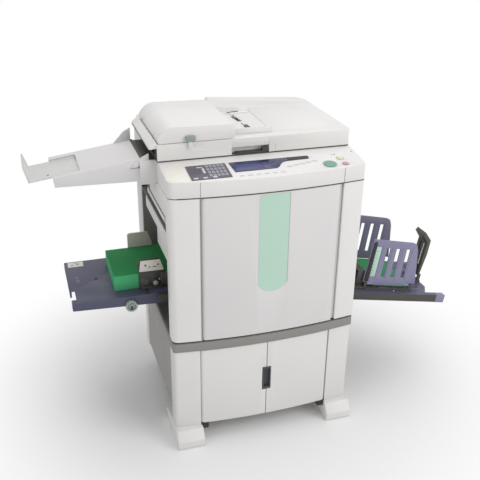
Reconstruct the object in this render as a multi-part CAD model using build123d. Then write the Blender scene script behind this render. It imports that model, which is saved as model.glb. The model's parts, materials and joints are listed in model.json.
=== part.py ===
from build123d import *
import math
import os

# Digital duplicator on a cabinet stand. Millimetres, X to the operator's right,
# Y to the rear, Z up from the floor. The middle of the stand's front is at X 0.

# Clearances
seam = 2.0                # gap beside an outer door or cover
gap = 0.3                 # gap between pieces that pass each other
run = 0.05                # radial clearance of a shaft in its bore
seat = 0.02               # radial clearance of a pin held in its own body

# Front of the whole machine, one shallow bow in plan
bow_radius = 2200.0
bow_front = -305.0        # foremost point of the bow, on the centre line
rear_y = 297.0

# Body and feeder widths, which the rest follows
body_half = 326.0
adf_half = body_half + 2

# Stand
stand_half = body_half - 4
stand_rear = 251.0
post_width = 87.0
post_depth = 60.0
rear_post = 45.0
foot_height = 66.0
foot_rear_height = 46.0
foot_toe = 24.0           # how far the foot stands out in front of the bow
foot_length = 199.0
panel_bottom = 105.0
board = 12.0
plate_bottom = 379.0
plate_thickness = 32.0
plate_skin = 3.0
stand_setback = 3.0       # stand's bow behind the body's
plate_overhang = 3.0
stand_door_bottom = 74.0
stand_door_depth = 22.0
stand_door_skin = 5.0

# Rear casters
caster_x = stand_half - 107
caster_y = 170.0
wheel_radius = 30.0
wheel_width = 22.0
caster_trail = 22.0
axle_radius = 4.0
stem_radius = 6.0

# Body casing
wall = 3.5
pan_thickness = 4.0
cover_bottom = 418.0
seam_z = 928.5            # dark line between the doors and the panel housing
corner_radius = 24.0
right_corner_radius = 10.0
column_left_width = 99.0
column_right_width = 76.5
housing_top = 1002.0
panel_front_z = 979.0
panel_rear_y = -148.0
pin_radius = 4.0

# Air slots in the rear cover
vent_rows = 6
vent_bottom = 820.0
vent_pitch = 14.0
vent_height = 6.0
vent_left = 60.0
vent_right = 240.0

# Front door
door_pivot_x = 114 - body_half
door_inner_y = -268.0
door_skin = 4.0
insert_half = 50.0
insert_x = 9.0
insert_bottom = 578.0
insert_top = 922.0
insert_depth = 3.0

# Feed side
recess_x = 111 - body_half   # inner wall of the feed recess
recess_front = -232.0
recess_rear = 193.0
recess_top = 795.0
sheet = 3.0
box_front = -190.0
box_rear = 95.0
box_height = 48.0
box_inner = recess_x + 155
paper_half = 105.0
paper_top = 600.0
paper_thickness = 54.7
paper_inner = recess_x - 42
paper_outer = paper_inner - 225
tray_pivot_x = recess_x - 125
tray_pivot_z = paper_top - 61
tray_outer = paper_outer - 146
tray_half = paper_half + 50
tray_depth = 26.0
tray_skin = 4.0
notch_front = -126.0
notch_rear = -62.0
fence_thickness = 6.0
fence_top = paper_top + 54
fence_outer = paper_outer + 82
fence_inner = fence_outer + 100
lift_arm_y = tray_half + 17
feed_pin_radius = 5.0
dial_radius = 20.0
dial_x = fence_outer - 37
pickup_x = paper_inner - 7
pickup_radius = 16.0
pickup_shaft = 4.0

# Receiving side
receive_pivot_x = body_half + 40
receive_pivot_z = 468.0
receive_slope = 11.0
receive_drop = 36.0       # tray surface under its pivot, square to the tray
receive_half = 150.0
receive_length = 392.0
rail_length = 440.0
rail_width = 22.0
rail_depth = 30.0
receive_pin = 5.0
print_half = 105.0
receive_fence_height = 183.0
receive_fence_thickness = 5.0
stopper_height = 181.0
stopper_half = 41.0
stopper_at = 378.0

# Document feeder on top
adf_front = -148.0
adf_bottom = 1006.0
adf_top = 1059.0
adf_pivot_y = 281.0
adf_pivot_radius = 16.0
adf_ear_x = adf_half - 98
lid_right = 253 - adf_half
lid_rear = 168.0
lid_top = 1111.0
lid_wall = 4.0
lid_pivot_x = 12 - adf_half
lid_pivot_z = 1071.0
lid_nose = 10.0
lid_pin = 3.0
entry_height = 11.0
guide_half = 132.0
guide_centre = 28.0
guide_slot_x = -3.0
lip_reach = 25.0          # how far the feeder's left lip stands out
lip_drop = 15.0           # how far it hangs below the feeder's top
grip_left = -86.0
grip_right = 41.0
grip_depth = 22.0
grip_height = 46.0
ridge_left = -62.0
ridge_right = 316.0
ridge_height = 24.0
ridge_depth = 82.0
rear_left_cut = 94.0      # bevel across the feeder's rear left corner
rear_right_radius = 45.0

# Document tray on the left
doc_front = -112.0
doc_rear = 98.0
doc_root_x = -body_half - 51
doc_root_z = 1006.0
doc_slope = 8.0
doc_length = 272.0
doc_skin = 3.0

# Print engine
drum_x = 40.0
drum_z = 690.0
drum_radius = 92.0
drum_wall = 2.0
drum_front = -172.0
drum_rear = 150.0
core_radius = 50.0
core_wall = 4.0
press_radius = 20.0
press_shaft = 6.0
frame_front = -238.0
frame_rear = 208.0
frame_left = recess_x + 10
frame_right = body_half - 26
frame_sheet = 3.0

master_right = frame_right - 20
master_left = master_right - 160
master_bottom = drum_z + drum_radius + 18
master_top = master_bottom + 105
motor_x = frame_left + 105
motor_z = drum_z - 130
motor_radius = 38.0
motor_shaft = 5.0
belt_low = drum_z - 142
belt_high = belt_low + 32
belt_left = drum_x + 90
belt_half = 130.0
supply_left = frame_right - 240
supply_right = frame_right - 40
supply_height = 150.0
sheet_case = 2.0

# Control panel
start_x = 208.0
start_y = -261.0
start_radius = 20.0
small_radius = 9.0
insert_proud = 2.0
insert_plates = [         # key block, display window and its strip: X, Y, width, depth
    (-187.0, -237.0, 128.0, 90.0), (-38.0, -224.0, 146.0, 62.0), (94.0, -204.0, 122.0, 20.0)]
stop_x = 259.0
stop_y = -268.0
clear_x = 257.0
clear_y = -229.0
button_proud = 3.0
button_shell = 4.0

plate_top = plate_bottom + plate_thickness
pan_top = plate_top + pan_thickness
cover_top = seam_z - 1.5
housing_bottom = seam_z + 1.5
glass_thickness = 3.0


def bow_y(x, inset=0.0):
    """Y of the bowed front at x, moved inward by inset."""
    centre = bow_front + bow_radius
    return centre - math.sqrt((bow_radius - inset) ** 2 - x * x)


def block(x0, x1, y0, y1, z0, z1):
    """A box between two corners."""
    centre = Pos((x0 + x1) / 2, (y0 + y1) / 2, (z0 + z1) / 2)
    return centre * Box(abs(x1 - x0), abs(y1 - y0), abs(z1 - z0))


def bowed(x0, x1, y_back, z0, z1, inset=0.0):
    """A block whose front follows the bow of the machine."""
    middle = (x0 + x1) / 2
    front = ThreePointArc(
        (x0, bow_y(x0, inset), z0), (middle, bow_y(middle, inset), z0), (x1, bow_y(x1, inset), z0))
    back = Polyline((x1, bow_y(x1, inset), z0), (x1, y_back, z0), (x0, y_back, z0), (x0, bow_y(x0, inset), z0))
    return extrude(make_face([front] + back.edges()), amount=z1 - z0, dir=(0, 0, 1))


def prism(points, start, length, direction):
    """A polygon given in the two axes across direction, pushed along it from start."""
    place = {
        "x": lambda a, b: (start, a, b),
        "y": lambda a, b: (a, start, b),
        "z": lambda a, b: (a, b, start),
    }[direction]
    way = {"x": (1, 0, 0), "y": (0, 1, 0), "z": (0, 0, 1)}[direction]
    outline = Polyline(*[place(a, b) for a, b in points], close=True)
    return extrude(make_face(outline), amount=length, dir=way)


def rod_x(x0, x1, y, z, radius):
    """A round bar along X."""
    return Pos((x0 + x1) / 2, y, z) * Rot(0, 90, 0) * Cylinder(radius, abs(x1 - x0))


def rod_y(x, y0, y1, z, radius):
    """A round bar along Y."""
    return Pos(x, (y0 + y1) / 2, z) * Rot(90, 0, 0) * Cylinder(radius, abs(y1 - y0))


def rod_z(x, y, z0, z1, radius):
    """An upright round bar."""
    return Pos(x, y, (z0 + z1) / 2) * Cylinder(radius, abs(z1 - z0))


def upright_edges(part, x, y, reach=2.0):
    """The vertical edges that stand within reach of a point in plan."""
    found = []
    for edge in part.edges().filter_by(Axis.Z):
        centre = edge.center()
        if abs(centre.X - x) < reach and abs(centre.Y - y) < reach:
            found.append(edge)
    return found


def both_sides(make):
    """One solid made for the left and one for the right."""
    return Compound(children=[make(-1), make(1)])


def group(*parts):
    """Separate solids that share a node."""
    solids = []
    for part in parts:
        solids.extend(part.solids())
    return Compound(children=solids)


nodes = {}

# Stand
post_inner = stand_half - post_width
stand_inset = stand_setback


def front_post(side):
    x0, x1 = sorted((side * stand_half, side * post_inner))
    front = bow_y(stand_half, stand_inset)
    post = bowed(x0, x1, front + post_depth, foot_height, plate_bottom, stand_inset)
    post = fillet(upright_edges(post, side * stand_half, front), corner_radius / 2)
    return post - block(x0 + 18, x1 - 18, front + 8, front + post_depth - 5, foot_height - 1, plate_bottom + 1)


def rear_post_at(side):
    x0, x1 = sorted((side * stand_half, side * (stand_half - rear_post)))
    y0 = stand_rear - rear_post
    post = block(x0, x1, y0, stand_rear, panel_bottom, plate_bottom)
    return post - block(x0 + 3, x1 - 3, y0 + 3, stand_rear - 3, panel_bottom - 1, plate_bottom + 1)


post_rear = bow_y(stand_half, stand_inset) + post_depth
nodes["stand_posts"] = group(front_post(-1), front_post(1), rear_post_at(-1), rear_post_at(1))


def side_panel(side):
    x0, x1 = sorted((side * (stand_half - 4), side * (stand_half - 4 - board)))
    return block(x0, x1, post_rear, stand_rear - rear_post, panel_bottom, plate_bottom)


def stand_shelf():
    reach = stand_half - 4 - board
    shelf = block(-reach, reach, post_rear, stand_rear - rear_post, panel_bottom, panel_bottom + board)
    lip = block(-post_inner, post_inner, door_back, post_rear, panel_bottom, panel_bottom + board)
    shelf = shelf + lip
    for side in (-1, 1):
        shelf = shelf - rod_z(side * caster_x, caster_y, 0, plate_bottom, stem_radius + run)
    return shelf


door_back = bow_front + 43
back_reach = stand_half - rear_post
nodes["stand_panels"] = group(
    side_panel(-1), side_panel(1), stand_shelf(),
    block(-back_reach, back_reach, stand_rear - board, stand_rear, panel_bottom, plate_bottom))

stand_pivot_x = post_inner - seam - stand_door_depth / 2
stand_pivot_y = bow_y(stand_pivot_x, stand_inset) + stand_door_depth / 2


def stand_top_plate():
    reach = stand_half + plate_overhang
    plate = bowed(-reach, reach, stand_rear + 4, plate_bottom, plate_top, stand_inset - plate_overhang)
    plate = fillet(upright_edges(plate, -reach, bow_y(reach, stand_inset - plate_overhang))
                   + upright_edges(plate, reach, bow_y(reach, stand_inset - plate_overhang)), 10)
    hollow = block(-reach + 20, reach - 20, post_rear, stand_rear - 16, plate_bottom, plate_top - plate_skin)
    toe = bowed(-200, 200, post_rear, plate_bottom, plate_top - plate_skin, stand_inset + 9)
    plate = plate - hollow - toe
    for side in (-1, 1):
        x = side * stand_pivot_x
        plate = plate - rod_z(x, stand_pivot_y, plate_bottom, plate_bottom + 6, pin_radius + seat)
    return plate


nodes["stand_top_plate"] = stand_top_plate()


def front_foot(side):
    toe = bow_front - foot_toe
    heel = toe + foot_length
    x0 = side * post_inner + (4 if side < 0 else -4) - (post_width + 8 if side < 0 else 0)
    profile = [
        (toe + 6, 0), (toe, 10), (toe, foot_height / 2), (bow_front + 1, foot_height),
        (post_rear, foot_height), (heel, foot_rear_height), (heel, 0)]
    foot = prism(profile, x0, post_width + 8, "x")
    return fillet(foot.edges().filter_by(Axis.X).sort_by(Axis.Y)[:2], 4)


foot_inner = post_inner - 4
nodes["front_feet"] = both_sides(front_foot)


# Hinge pins of the stand doors, the front door and the feeder
door_edge_radius = (door_inner_y - bow_y(door_pivot_x)) / 2
door_pivot_y = door_inner_y - door_edge_radius
bracket_top = stand_door_bottom - 1


def lower_bracket(side):
    x0, x1 = sorted((side * foot_inner, side * (stand_pivot_x - 14)))
    plate = block(x0, x1, stand_pivot_y - 12, stand_pivot_y + 12, bracket_top - 22, bracket_top)
    pin = rod_z(side * stand_pivot_x, stand_pivot_y, bracket_top, stand_door_bottom + 11.5, pin_radius)
    return plate + pin


def upper_pin(side):
    return rod_z(side * stand_pivot_x, stand_pivot_y, plate_bottom - 14, plate_bottom + 5.5, pin_radius)


def adf_pin(side):
    x = side * adf_ear_x
    return rod_x(x - 17, x + 17, adf_pivot_y, adf_pivot_z, pin_radius)


adf_pivot_z = adf_bottom + adf_pivot_radius
door_pin_low = rod_z(door_pivot_x, door_pivot_y, plate_top + 0.5, cover_bottom + 12, pin_radius)
door_pin_high = rod_z(door_pivot_x, door_pivot_y, cover_top - 12, housing_bottom + 3.5, pin_radius)
nodes["hinge_pins"] = group(
    lower_bracket(-1), lower_bracket(1), upper_pin(-1), upper_pin(1),
    door_pin_low, door_pin_high, adf_pin(-1), adf_pin(1))


# Stand doors
stand_door_top = plate_bottom - 3
handle_half = 15.0
handle_bottom = 181.0
handle_top = 274.0
handle_back = bow_front + 22


def stand_door(side):
    back = stand_pivot_y + stand_door_depth / 2
    near, far = seam * 0.75, stand_pivot_x
    x0, x1 = sorted((side * near, side * far))
    door = bowed(x0, x1, back, stand_door_bottom, stand_door_top, stand_inset)
    door = door + rod_z(side * stand_pivot_x, stand_pivot_y, stand_door_bottom, stand_door_top,
                        stand_door_depth / 2)
    p0, p1 = sorted((side * (near + 24), side * (far - 20)))
    door = door - bowed(p0, p1, back, stand_door_bottom + 18, stand_door_top - 18,
                        stand_inset + stand_door_skin)
    for z in (stand_door_bottom, stand_door_top - 12):
        door = door - rod_z(side * stand_pivot_x, stand_pivot_y, z, z + 12, pin_radius + run)
    pocket_back = back if side < 0 else handle_back
    h0, h1 = sorted((0, side * (handle_half + 1)))
    return door - block(h0, h1, bow_front - 5, pocket_back, handle_bottom - 1, handle_top + 1)


nodes["stand_door_left"] = stand_door(-1)
nodes["stand_door_right"] = stand_door(1)


def stand_door_handle():
    front = bow_front + stand_inset
    grip = block(-handle_half + 2, handle_half, front, handle_back, handle_bottom, handle_top)
    scoop = block(-handle_half + 5, handle_half - 3, front, front + 14, handle_bottom + 8, handle_top - 8)
    return grip - scoop


nodes["stand_door_handle"] = stand_door_handle()


# Rear casters
def caster_fork(side):
    x = side * caster_x
    fork_y = caster_y + caster_trail
    half = wheel_width / 2 + 1.5
    disc = rod_z(x, caster_y, panel_bottom - 9, panel_bottom - gap, 24)
    stem = rod_z(x, caster_y, panel_bottom - gap, panel_bottom + board - 1, stem_radius)
    bridge_low = panel_bottom - 17
    bridge = block(x - half - 4, x + half + 4, caster_y - 20, fork_y + 14, bridge_low, panel_bottom - 9)
    fork = disc + stem + bridge
    for cheek in (-1, 1):
        inner = x + cheek * half
        outer = x + cheek * (half + 4)
        low, high = min(inner, outer), max(inner, outer)
        profile = [(caster_y - 16, bridge_low), (fork_y + 14, bridge_low), (fork_y + 9, wheel_radius - 8),
                   (fork_y - 9, wheel_radius - 8)]
        fork = fork + prism(profile, low, high - low, "x")
    return fork + rod_x(x - half, x + half, fork_y, wheel_radius, axle_radius)


def caster_wheel(side):
    x = side * caster_x
    fork_y = caster_y + caster_trail
    wheel = rod_x(x - wheel_width / 2, x + wheel_width / 2, fork_y, wheel_radius, wheel_radius)
    wheel = fillet(wheel.edges().filter_by(GeomType.CIRCLE), 4)
    return wheel - rod_x(x - wheel_width, x + wheel_width, fork_y, wheel_radius, axle_radius + run)


for name, side in (("left", -1), ("right", 1)):
    nodes["caster_fork_" + name] = caster_fork(side)
    nodes["caster_wheel_" + name] = caster_wheel(side)


# Base pan and welded frame
def base_pan():
    reach = body_half - 10
    pan = bowed(-reach, reach, rear_y - 12, plate_top, pan_top, 8)
    return pan - rod_z(door_pivot_x, door_pivot_y, plate_top, pan_top, pin_radius + seat)


nodes["base_pan"] = base_pan()

press_z = drum_z - drum_radius - gap - press_radius
drum_opening = drum_radius + 13


def main_frame():
    top = housing_bottom
    front = block(frame_left, frame_right, frame_front, frame_front + frame_sheet, pan_top, top)
    back = block(frame_left, frame_right, frame_rear - frame_sheet, frame_rear, pan_top, top)
    front = front - rod_y(drum_x, frame_front - 5, frame_front + 8, drum_z, drum_opening)
    back = back - rod_y(drum_x, frame_rear - 8, frame_rear + 5, drum_z, stub_radius + seat)
    frame = front + back
    bore = rod_y(drum_x, frame_front - 5, frame_rear + 5, press_z, press_shaft + run)
    frame = frame - bore
    for x in (frame_left + 12, frame_right - 12):
        for z in (pan_top + 12, top - 12):
            frame = frame + rod_y(x, frame_front + 1, frame_rear - 1, z, 6)
    return frame


stub_radius = 10.0
nodes["main_frame"] = main_frame()


# Casings
def column(x0, x1, y_back, z0, z1, rounded_x, radius):
    """A bowed hollow column, open at the back, with one rounded outer corner."""
    outer = bowed(x0, x1, y_back, z0, z1)
    outer = fillet(upright_edges(outer, rounded_x, bow_y(rounded_x)), radius)
    inner_x = rounded_x - math.copysign(wall, rounded_x)
    i0, i1 = sorted((inner_x, x0 + wall if rounded_x > 0 else x1 - wall))
    inner = bowed(i0, i1, y_back + 5, z0 - 1, z1 + 1, wall)
    inner = fillet(upright_edges(inner, inner_x, bow_y(inner_x, wall)), radius - wall)
    return outer - inner


slot_bottom = 797.0
slot_top = 853.0
skirt_bottom = 702.0
skirt_step = 757.0
skirt_front_end = -88.0
skirt_end = 104.0


def left_cover():
    x0 = -body_half
    side_back = recess_front - seam
    cover = column(x0, x0 + column_left_width, side_back, cover_bottom, cover_top, x0, corner_radius)
    upper = block(x0, x0 + wall, side_back, recess_rear - 1, slot_top, cover_top)
    skirt = prism(
        [(side_back - 1, skirt_bottom), (skirt_front_end, skirt_bottom), (skirt_front_end, skirt_step),
         (skirt_end, skirt_step), (skirt_end, slot_bottom), (side_back - 1, slot_bottom)],
        x0, wall, "x")
    tab = block(x0 + wall, x0 + wall + 16, side_back - 24, side_back - 4, pan_top, cover_bottom + 12)
    tab = tab + block(x0 + wall - 1, x0 + wall + 1, side_back - 24, side_back - 4, cover_bottom + 2,
                      cover_bottom + 12)
    return cover + upper + skirt + tab


nodes["left_cover"] = left_cover()


def feed_side_wall():
    """Dark sheet lining of the feed recess, with the paper slot and the shelf of the disposal box."""
    outer = -body_half + wall
    inner = block(recess_x, recess_x + sheet, recess_front, recess_rear, pan_top, recess_top)
    back = block(outer, recess_x, recess_rear - sheet, recess_rear, pan_top, recess_top)
    front = block(outer, recess_x, recess_front, recess_front + sheet, pan_top, recess_top)
    floor = block(outer, recess_x, recess_front, recess_rear, pan_top, pan_top + sheet)
    shelf = block(outer, box_inner, recess_front, recess_rear, recess_top, recess_top + sheet)
    lining = inner + back + front + floor + shelf
    slot = block(recess_x - 5, recess_x + 8, -paper_half - 15, paper_half + 15, paper_top - 10, paper_top + 45)
    lining = lining - slot
    for side in (-1, 1):
        y = side * 62
        arm = block(pickup_x - 9, recess_x, y - 3, y + 3, pickup_z - 10, pickup_z + 34)
        hanger = block(pickup_x - 9, recess_x, y - 3, y + 3, pickup_z + 20, paper_top + 52)
        lining = lining + arm + hanger
        lining = lining - rod_y(pickup_x, y - 6, y + 6, pickup_z, pickup_shaft + run)
        rail = block(recess_x - rail_reach, recess_x, side * rail_y - 3, side * rail_y + 3,
                     pan_top + 5, recess_top - 5)
        lining = lining + rail
    return lining


pickup_z = paper_top + gap + pickup_radius
rail_y = tray_half + 5
rail_reach = 4.0
nodes["feed_side_wall"] = feed_side_wall()

exit_half = 140.0
exit_bottom = 478.0
exit_top = 640.0
right_seam_x = body_half - column_right_width


def right_cover():
    x1 = body_half
    side_back = frame_front - seam
    cover = column(x1 - column_right_width, x1, side_back, cover_bottom, cover_top, x1, right_corner_radius)
    side = block(x1 - wall, x1, side_back, rear_y - 40, cover_bottom, cover_top)
    cover = cover + side
    for y in (side_back + 30, rear_y - 80):
        cover = cover + block(x1 - wall - 16, x1 - wall + 1, y, y + 20, cover_bottom, cover_bottom + 12)
        cover = cover + block(x1 - wall - 16, x1 - wall, y, y + 20, pan_top, cover_bottom + 1)
    window = block(x1 - 20, x1 + 10, -exit_half, exit_half, exit_bottom, exit_top)
    return cover - window


nodes["right_cover"] = right_cover()


def rear_cover():
    outer = block(-body_half, body_half, rear_y - 106, rear_y, cover_bottom, cover_top)
    outer = fillet(upright_edges(outer, -body_half, rear_y) + upright_edges(outer, body_half, rear_y), 14)
    inner = block(-body_half + wall, body_half - wall, rear_y - 120, rear_y - wall,
                  cover_bottom - 1, cover_top + 1)
    inner = fillet(upright_edges(inner, -body_half + wall, rear_y - wall)
                   + upright_edges(inner, body_half - wall, rear_y - wall), 14 - wall)
    cover = outer - inner
    cover = cover - block(body_half - 20, body_half + 5, rear_y - 130, rear_y - 39.5, cover_bottom - 1,
                          cover_top + 1)
    cover = cover - block(-body_half - 5, -body_half + 20, rear_y - 130, recess_rear - 1 + gap,
                          cover_bottom - 1, cover_top + 1)
    for x in (136 - body_half, body_half - 54):
        cover = cover + block(x, x + 20, rear_y - wall - 16, rear_y - wall + 1, cover_bottom, cover_bottom + 12)
        cover = cover + block(x, x + 20, rear_y - wall - 16, rear_y - wall, pan_top, cover_bottom + 1)
    for row in range(vent_rows):
        z = vent_bottom + row * vent_pitch
        cover = cover - block(vent_left, vent_right, rear_y - 20, rear_y + 5, z, z + vent_height)
    return cover


nodes["rear_cover"] = rear_cover()


# Front door with its pale insert
def front_door():
    right = right_seam_x - seam
    low, high = cover_bottom + 1, cover_top - 1
    door = bowed(door_pivot_x, right, door_inner_y, low, high)
    door = door + rod_z(door_pivot_x, door_pivot_y, low, high, door_edge_radius)
    door = door - bowed(door_pivot_x + 24, right - 26, door_inner_y, low + 20, high - 20,
                        door_skin + insert_depth)
    door = door - block(right - 13, right + 1, bow_front, bow_y(right) + 9, low - 1, high + 1)
    for z in (low, high - 14):
        door = door - rod_z(door_pivot_x, door_pivot_y, z, z + 14, pin_radius + run)
    return door - door_insert(gap)


def door_insert(grow=0.0):
    """The pale front insert, with a round lower end."""
    back = bowed(insert_x - insert_half - grow, insert_x + insert_half + grow, door_inner_y,
                 insert_bottom - grow, insert_top + grow)
    back = back - bowed(-body_half, body_half, door_inner_y + 1, insert_bottom - 9, insert_top + 9,
                        insert_depth)
    drop = 26.0
    sagitta_radius = (insert_half ** 2 + drop ** 2) / (2 * drop) + grow
    centre_z = insert_bottom + sagitta_radius - grow
    round_end = rod_y(insert_x, bow_front - 50, door_inner_y + 5, centre_z, sagitta_radius)
    upper = block(insert_x - 2 * insert_half, insert_x + 2 * insert_half, bow_front - 60, door_inner_y + 9,
                  insert_bottom + drop, insert_top + 9)
    return back & (round_end + upper)


nodes["front_door"] = front_door()
nodes["front_door_insert"] = door_insert()

# Panel housing, which holds the scanner and the control panel
panel_slope = math.degrees(math.atan2(housing_top - panel_front_z, panel_rear_y - bow_front))
panel_skin = 4.0


def on_panel(x, y, height=0.0):
    """A place on the sloped control panel, with Z square to its face."""
    z = panel_front_z + (y - bow_front) * math.tan(math.radians(panel_slope))
    return Pos(x, y, z) * Rot(panel_slope, 0, 0) * Pos(0, 0, height)


glass_half_x = body_half - 108
glass_front = -118.0
glass_rear = 196.0


def top_housing():
    housing = bowed(-body_half, body_half, rear_y, housing_bottom, housing_top)
    for x, radius in ((-body_half, corner_radius), (body_half, right_corner_radius)):
        housing = fillet(upright_edges(housing, x, bow_y(x)), radius)
    housing = fillet(upright_edges(housing, -body_half, rear_y) + upright_edges(housing, body_half, rear_y), 14)
    above = Pos(0, -200, 0) * Box(3 * body_half, 400, 100)
    housing = housing - on_panel(0, panel_rear_y, 50) * above
    tub = block(-body_half + 12, body_half - 12, panel_rear_y + 12, rear_y - 12, housing_bottom + 8,
                housing_top - 4)
    housing = housing - tub
    hollow = bowed(-body_half + 8, body_half - 8, panel_rear_y + 4, housing_bottom - 1, housing_top, 8)
    hollow = hollow - on_panel(0, panel_rear_y, 50 - panel_skin) * above
    hollow = hollow - block(door_pivot_x - 14, door_pivot_x + 14, bow_front - 5, door_pivot_y + 14,
                            housing_bottom - 2, housing_bottom + 8)
    housing = housing - hollow
    housing = housing - block(-glass_half_x, glass_half_x, glass_front, glass_rear,
                              housing_top - glass_thickness, housing_top + 5)
    housing = housing - block(-glass_half_x + 6, glass_half_x - 6, glass_front + 6, glass_rear - 6,
                              housing_top - 10, housing_top + 5)
    housing = housing - rod_z(door_pivot_x, door_pivot_y, housing_bottom - 1, housing_bottom + 4,
                              pin_radius + seat)
    housing = housing + rod_x(-body_half + 10, body_half - 10, scan_rail_y, scan_rail_z, 5)
    for side in (-1, 1):
        x = side * adf_ear_x
        ear = block(x - 7, x + 7, adf_pivot_y - 8, adf_pivot_y + 8, housing_top - 2, adf_pivot_z)
        ear = ear + rod_x(x - 7, x + 7, adf_pivot_y, adf_pivot_z, 8)
        housing = housing + ear
        housing = housing - rod_x(x - 9, x + 9, adf_pivot_y, adf_pivot_z, pin_radius + seat)
    for x, y, radius in button_places:
        housing = housing - on_panel(x, y, -5) * Cylinder(radius + gap, 20)
    return housing


scan_rail_y = 40.0
scan_rail_z = 962.0
button_places = [
    (start_x, start_y, start_radius), (stop_x, stop_y, small_radius), (clear_x, clear_y, small_radius)]
nodes["top_housing"] = top_housing()


def panel_inserts():
    """The key block and the display window, both laid on the sloped panel."""
    plates = []
    for x, y, width, depth in insert_plates:
        plates.append(on_panel(x, y, insert_proud / 2) * Box(width, depth, insert_proud))
    return group(plates[0], plates[1] + plates[2])


nodes["panel_inserts"] = panel_inserts()


def push_button(x, y, radius):
    """A round cap in its hole, with a flange under the panel skin."""
    length = panel_skin + button_proud + button_shell
    cap = on_panel(x, y, button_proud - length / 2) * Cylinder(radius, length)
    flange = on_panel(x, y, button_proud - length + 1) * Cylinder(radius + 2, 2)
    return cap + flange


for name, (x, y, radius) in zip(("start", "stop", "clear"), button_places):
    nodes[name + "_button"] = push_button(x, y, radius)

nodes["scanner_glass"] = block(
    -glass_half_x + gap, glass_half_x - gap, glass_front + gap, glass_rear - gap,
    housing_top - glass_thickness, housing_top)

carriage_x = 28 - glass_half_x
carriage_width = 36.0


def scan_carriage():
    bar = block(carriage_x, carriage_x + carriage_width, glass_front, glass_rear - 10, scan_rail_z - 10,
                scan_rail_z + 14)
    lamp = rod_y(carriage_x + 12, glass_front + 12, glass_rear - 22, scan_rail_z + 18, 6)
    bore = rod_x(carriage_x - 5, carriage_x + carriage_width + 5, scan_rail_y, scan_rail_z, 5 + run)
    return bar + lamp - bore


nodes["scan_carriage"] = scan_carriage()


# Document feeder
lid_base = lid_pivot_z - lid_nose


def feeder_ridge():
    """The low wedge along the feeder's rear, falling to the right."""
    slope = prism([(rear_y - ridge_depth, adf_top - 1), (rear_y - 30, adf_top + ridge_height),
                   (rear_y, adf_top + ridge_height), (rear_y, adf_top - 1)],
                  ridge_left, ridge_right - ridge_left, "x")
    fall = prism([(ridge_left, adf_top - 1), (ridge_left + 8, adf_top + ridge_height),
                  (ridge_right, adf_top)], rear_y - ridge_depth, ridge_depth, "y")
    return slope & fall


def feeder_lip():
    """The sloped lip over the feeder's exit, along its left side."""
    x = -adf_half
    outline = [(x + 2, adf_top - 1), (x - 1, adf_top + 6), (x - 8, adf_top + 6),
               (x - lip_reach + 1, adf_top - lip_drop / 2), (x - lip_reach, adf_top - lip_drop + 2),
               (x - lip_reach + 5, adf_top - lip_drop), (x + 2, adf_top - 12)]
    return prism(outline, adf_front + 4, lid_rear - adf_front - 9, "y")


def feeder_grip():
    """Hollow under the front edge, by which the feeder is lifted."""
    outline = [(adf_front - 5, adf_bottom - 1), (adf_front - 5, adf_bottom + grip_height),
               (adf_front, adf_bottom + grip_height), (adf_front + grip_depth / 2, adf_bottom + grip_height - 12),
               (adf_front + grip_depth, adf_bottom + grip_height / 2), (adf_front + grip_depth, adf_bottom - 1)]
    return prism(outline, grip_left, grip_right - grip_left, "x")


def adf_base():
    base = block(-adf_half, adf_half, adf_front, rear_y, adf_bottom, adf_top)
    base = fillet(upright_edges(base, adf_half, adf_front), 16)
    base = base + feeder_ridge()
    base = fillet(upright_edges(base, adf_half, rear_y), rear_right_radius)
    cut_inner = rear_left_cut - adf_half
    base = base - prism([(-adf_half - 5, rear_y - rear_left_cut), (-adf_half - 5, rear_y + 5),
                         (cut_inner, rear_y + 5)], adf_bottom - 5, adf_top - adf_bottom + 10, "z")
    corner = block(-adf_half - 5, adf_half + 5, adf_pivot_y, rear_y + 5, adf_bottom - 5, adf_pivot_z)
    corner = corner - rod_x(-adf_half - 9, adf_half + 9, adf_pivot_y, adf_pivot_z, adf_pivot_radius)
    base = base - corner
    for side in (-1, 1):
        x = side * adf_ear_x
        slot = block(x - 8, x + 8, adf_pivot_y - 14, rear_y + 5, adf_bottom - 5, adf_pivot_z + 14)
        base = base - slot
        base = base - rod_x(x - 19, x + 19, adf_pivot_y, adf_pivot_z, pin_radius + run)
    base = base - block(lid_pivot_x + 12, lid_right - 12, adf_front + 26, lid_rear - 26,
                        adf_top - 22, adf_top + 1)
    base = base - block(-glass_half_x + 40, glass_half_x - 40, glass_front + 40, glass_rear - 40,
                        adf_bottom - 1, adf_top - 14)
    throat = block(-adf_half - 5, -adf_half + 34, exit_roller_front, exit_roller_rear,
                   adf_bottom + 6, adf_top - 14)
    base = base - throat
    base = base - feeder_grip()
    base = base + feeder_lip()
    base = base - rod_y(exit_roller_x, exit_roller_front - 8, exit_roller_rear + 8, exit_roller_z, 5 + run)
    for side in (-1, 1):
        inner = guide_centre + side * 8
        outer = guide_centre + side * (guide_half - 2)
        y0, y1 = sorted((inner, outer))
        base = base - block(guide_slot_x - 4, guide_slot_x + 4, y0, y1, adf_top - 12, adf_top + 1)
    for y in (lug_front, lug_rear):
        ear = block(lid_pivot_x - 6, lid_pivot_x + 6, y - 16, y - 8, adf_top - 1, lid_pivot_z + 5)
        base = base + ear + rod_y(lid_pivot_x, y - 9, y + 5, lid_pivot_z, lid_pin)
    base = base - rod_y(lever_x, adf_front - 1, adf_front + 16, lever_z, 5 + run)
    return base


exit_roller_x = 20 - adf_half
exit_roller_z = 1030.0
exit_roller_front = -112.0
exit_roller_rear = lid_rear - 23
lug_front = -80.0
lug_rear = lid_rear - 56
lever_x = 106 - adf_half
lever_z = adf_top - 9
nodes["adf_base"] = adf_base()
nodes["platen_pad"] = block(
    -glass_half_x + 12, glass_half_x - 12, glass_front + 12, glass_rear - 12, housing_top + 0.5, adf_bottom)


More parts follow.
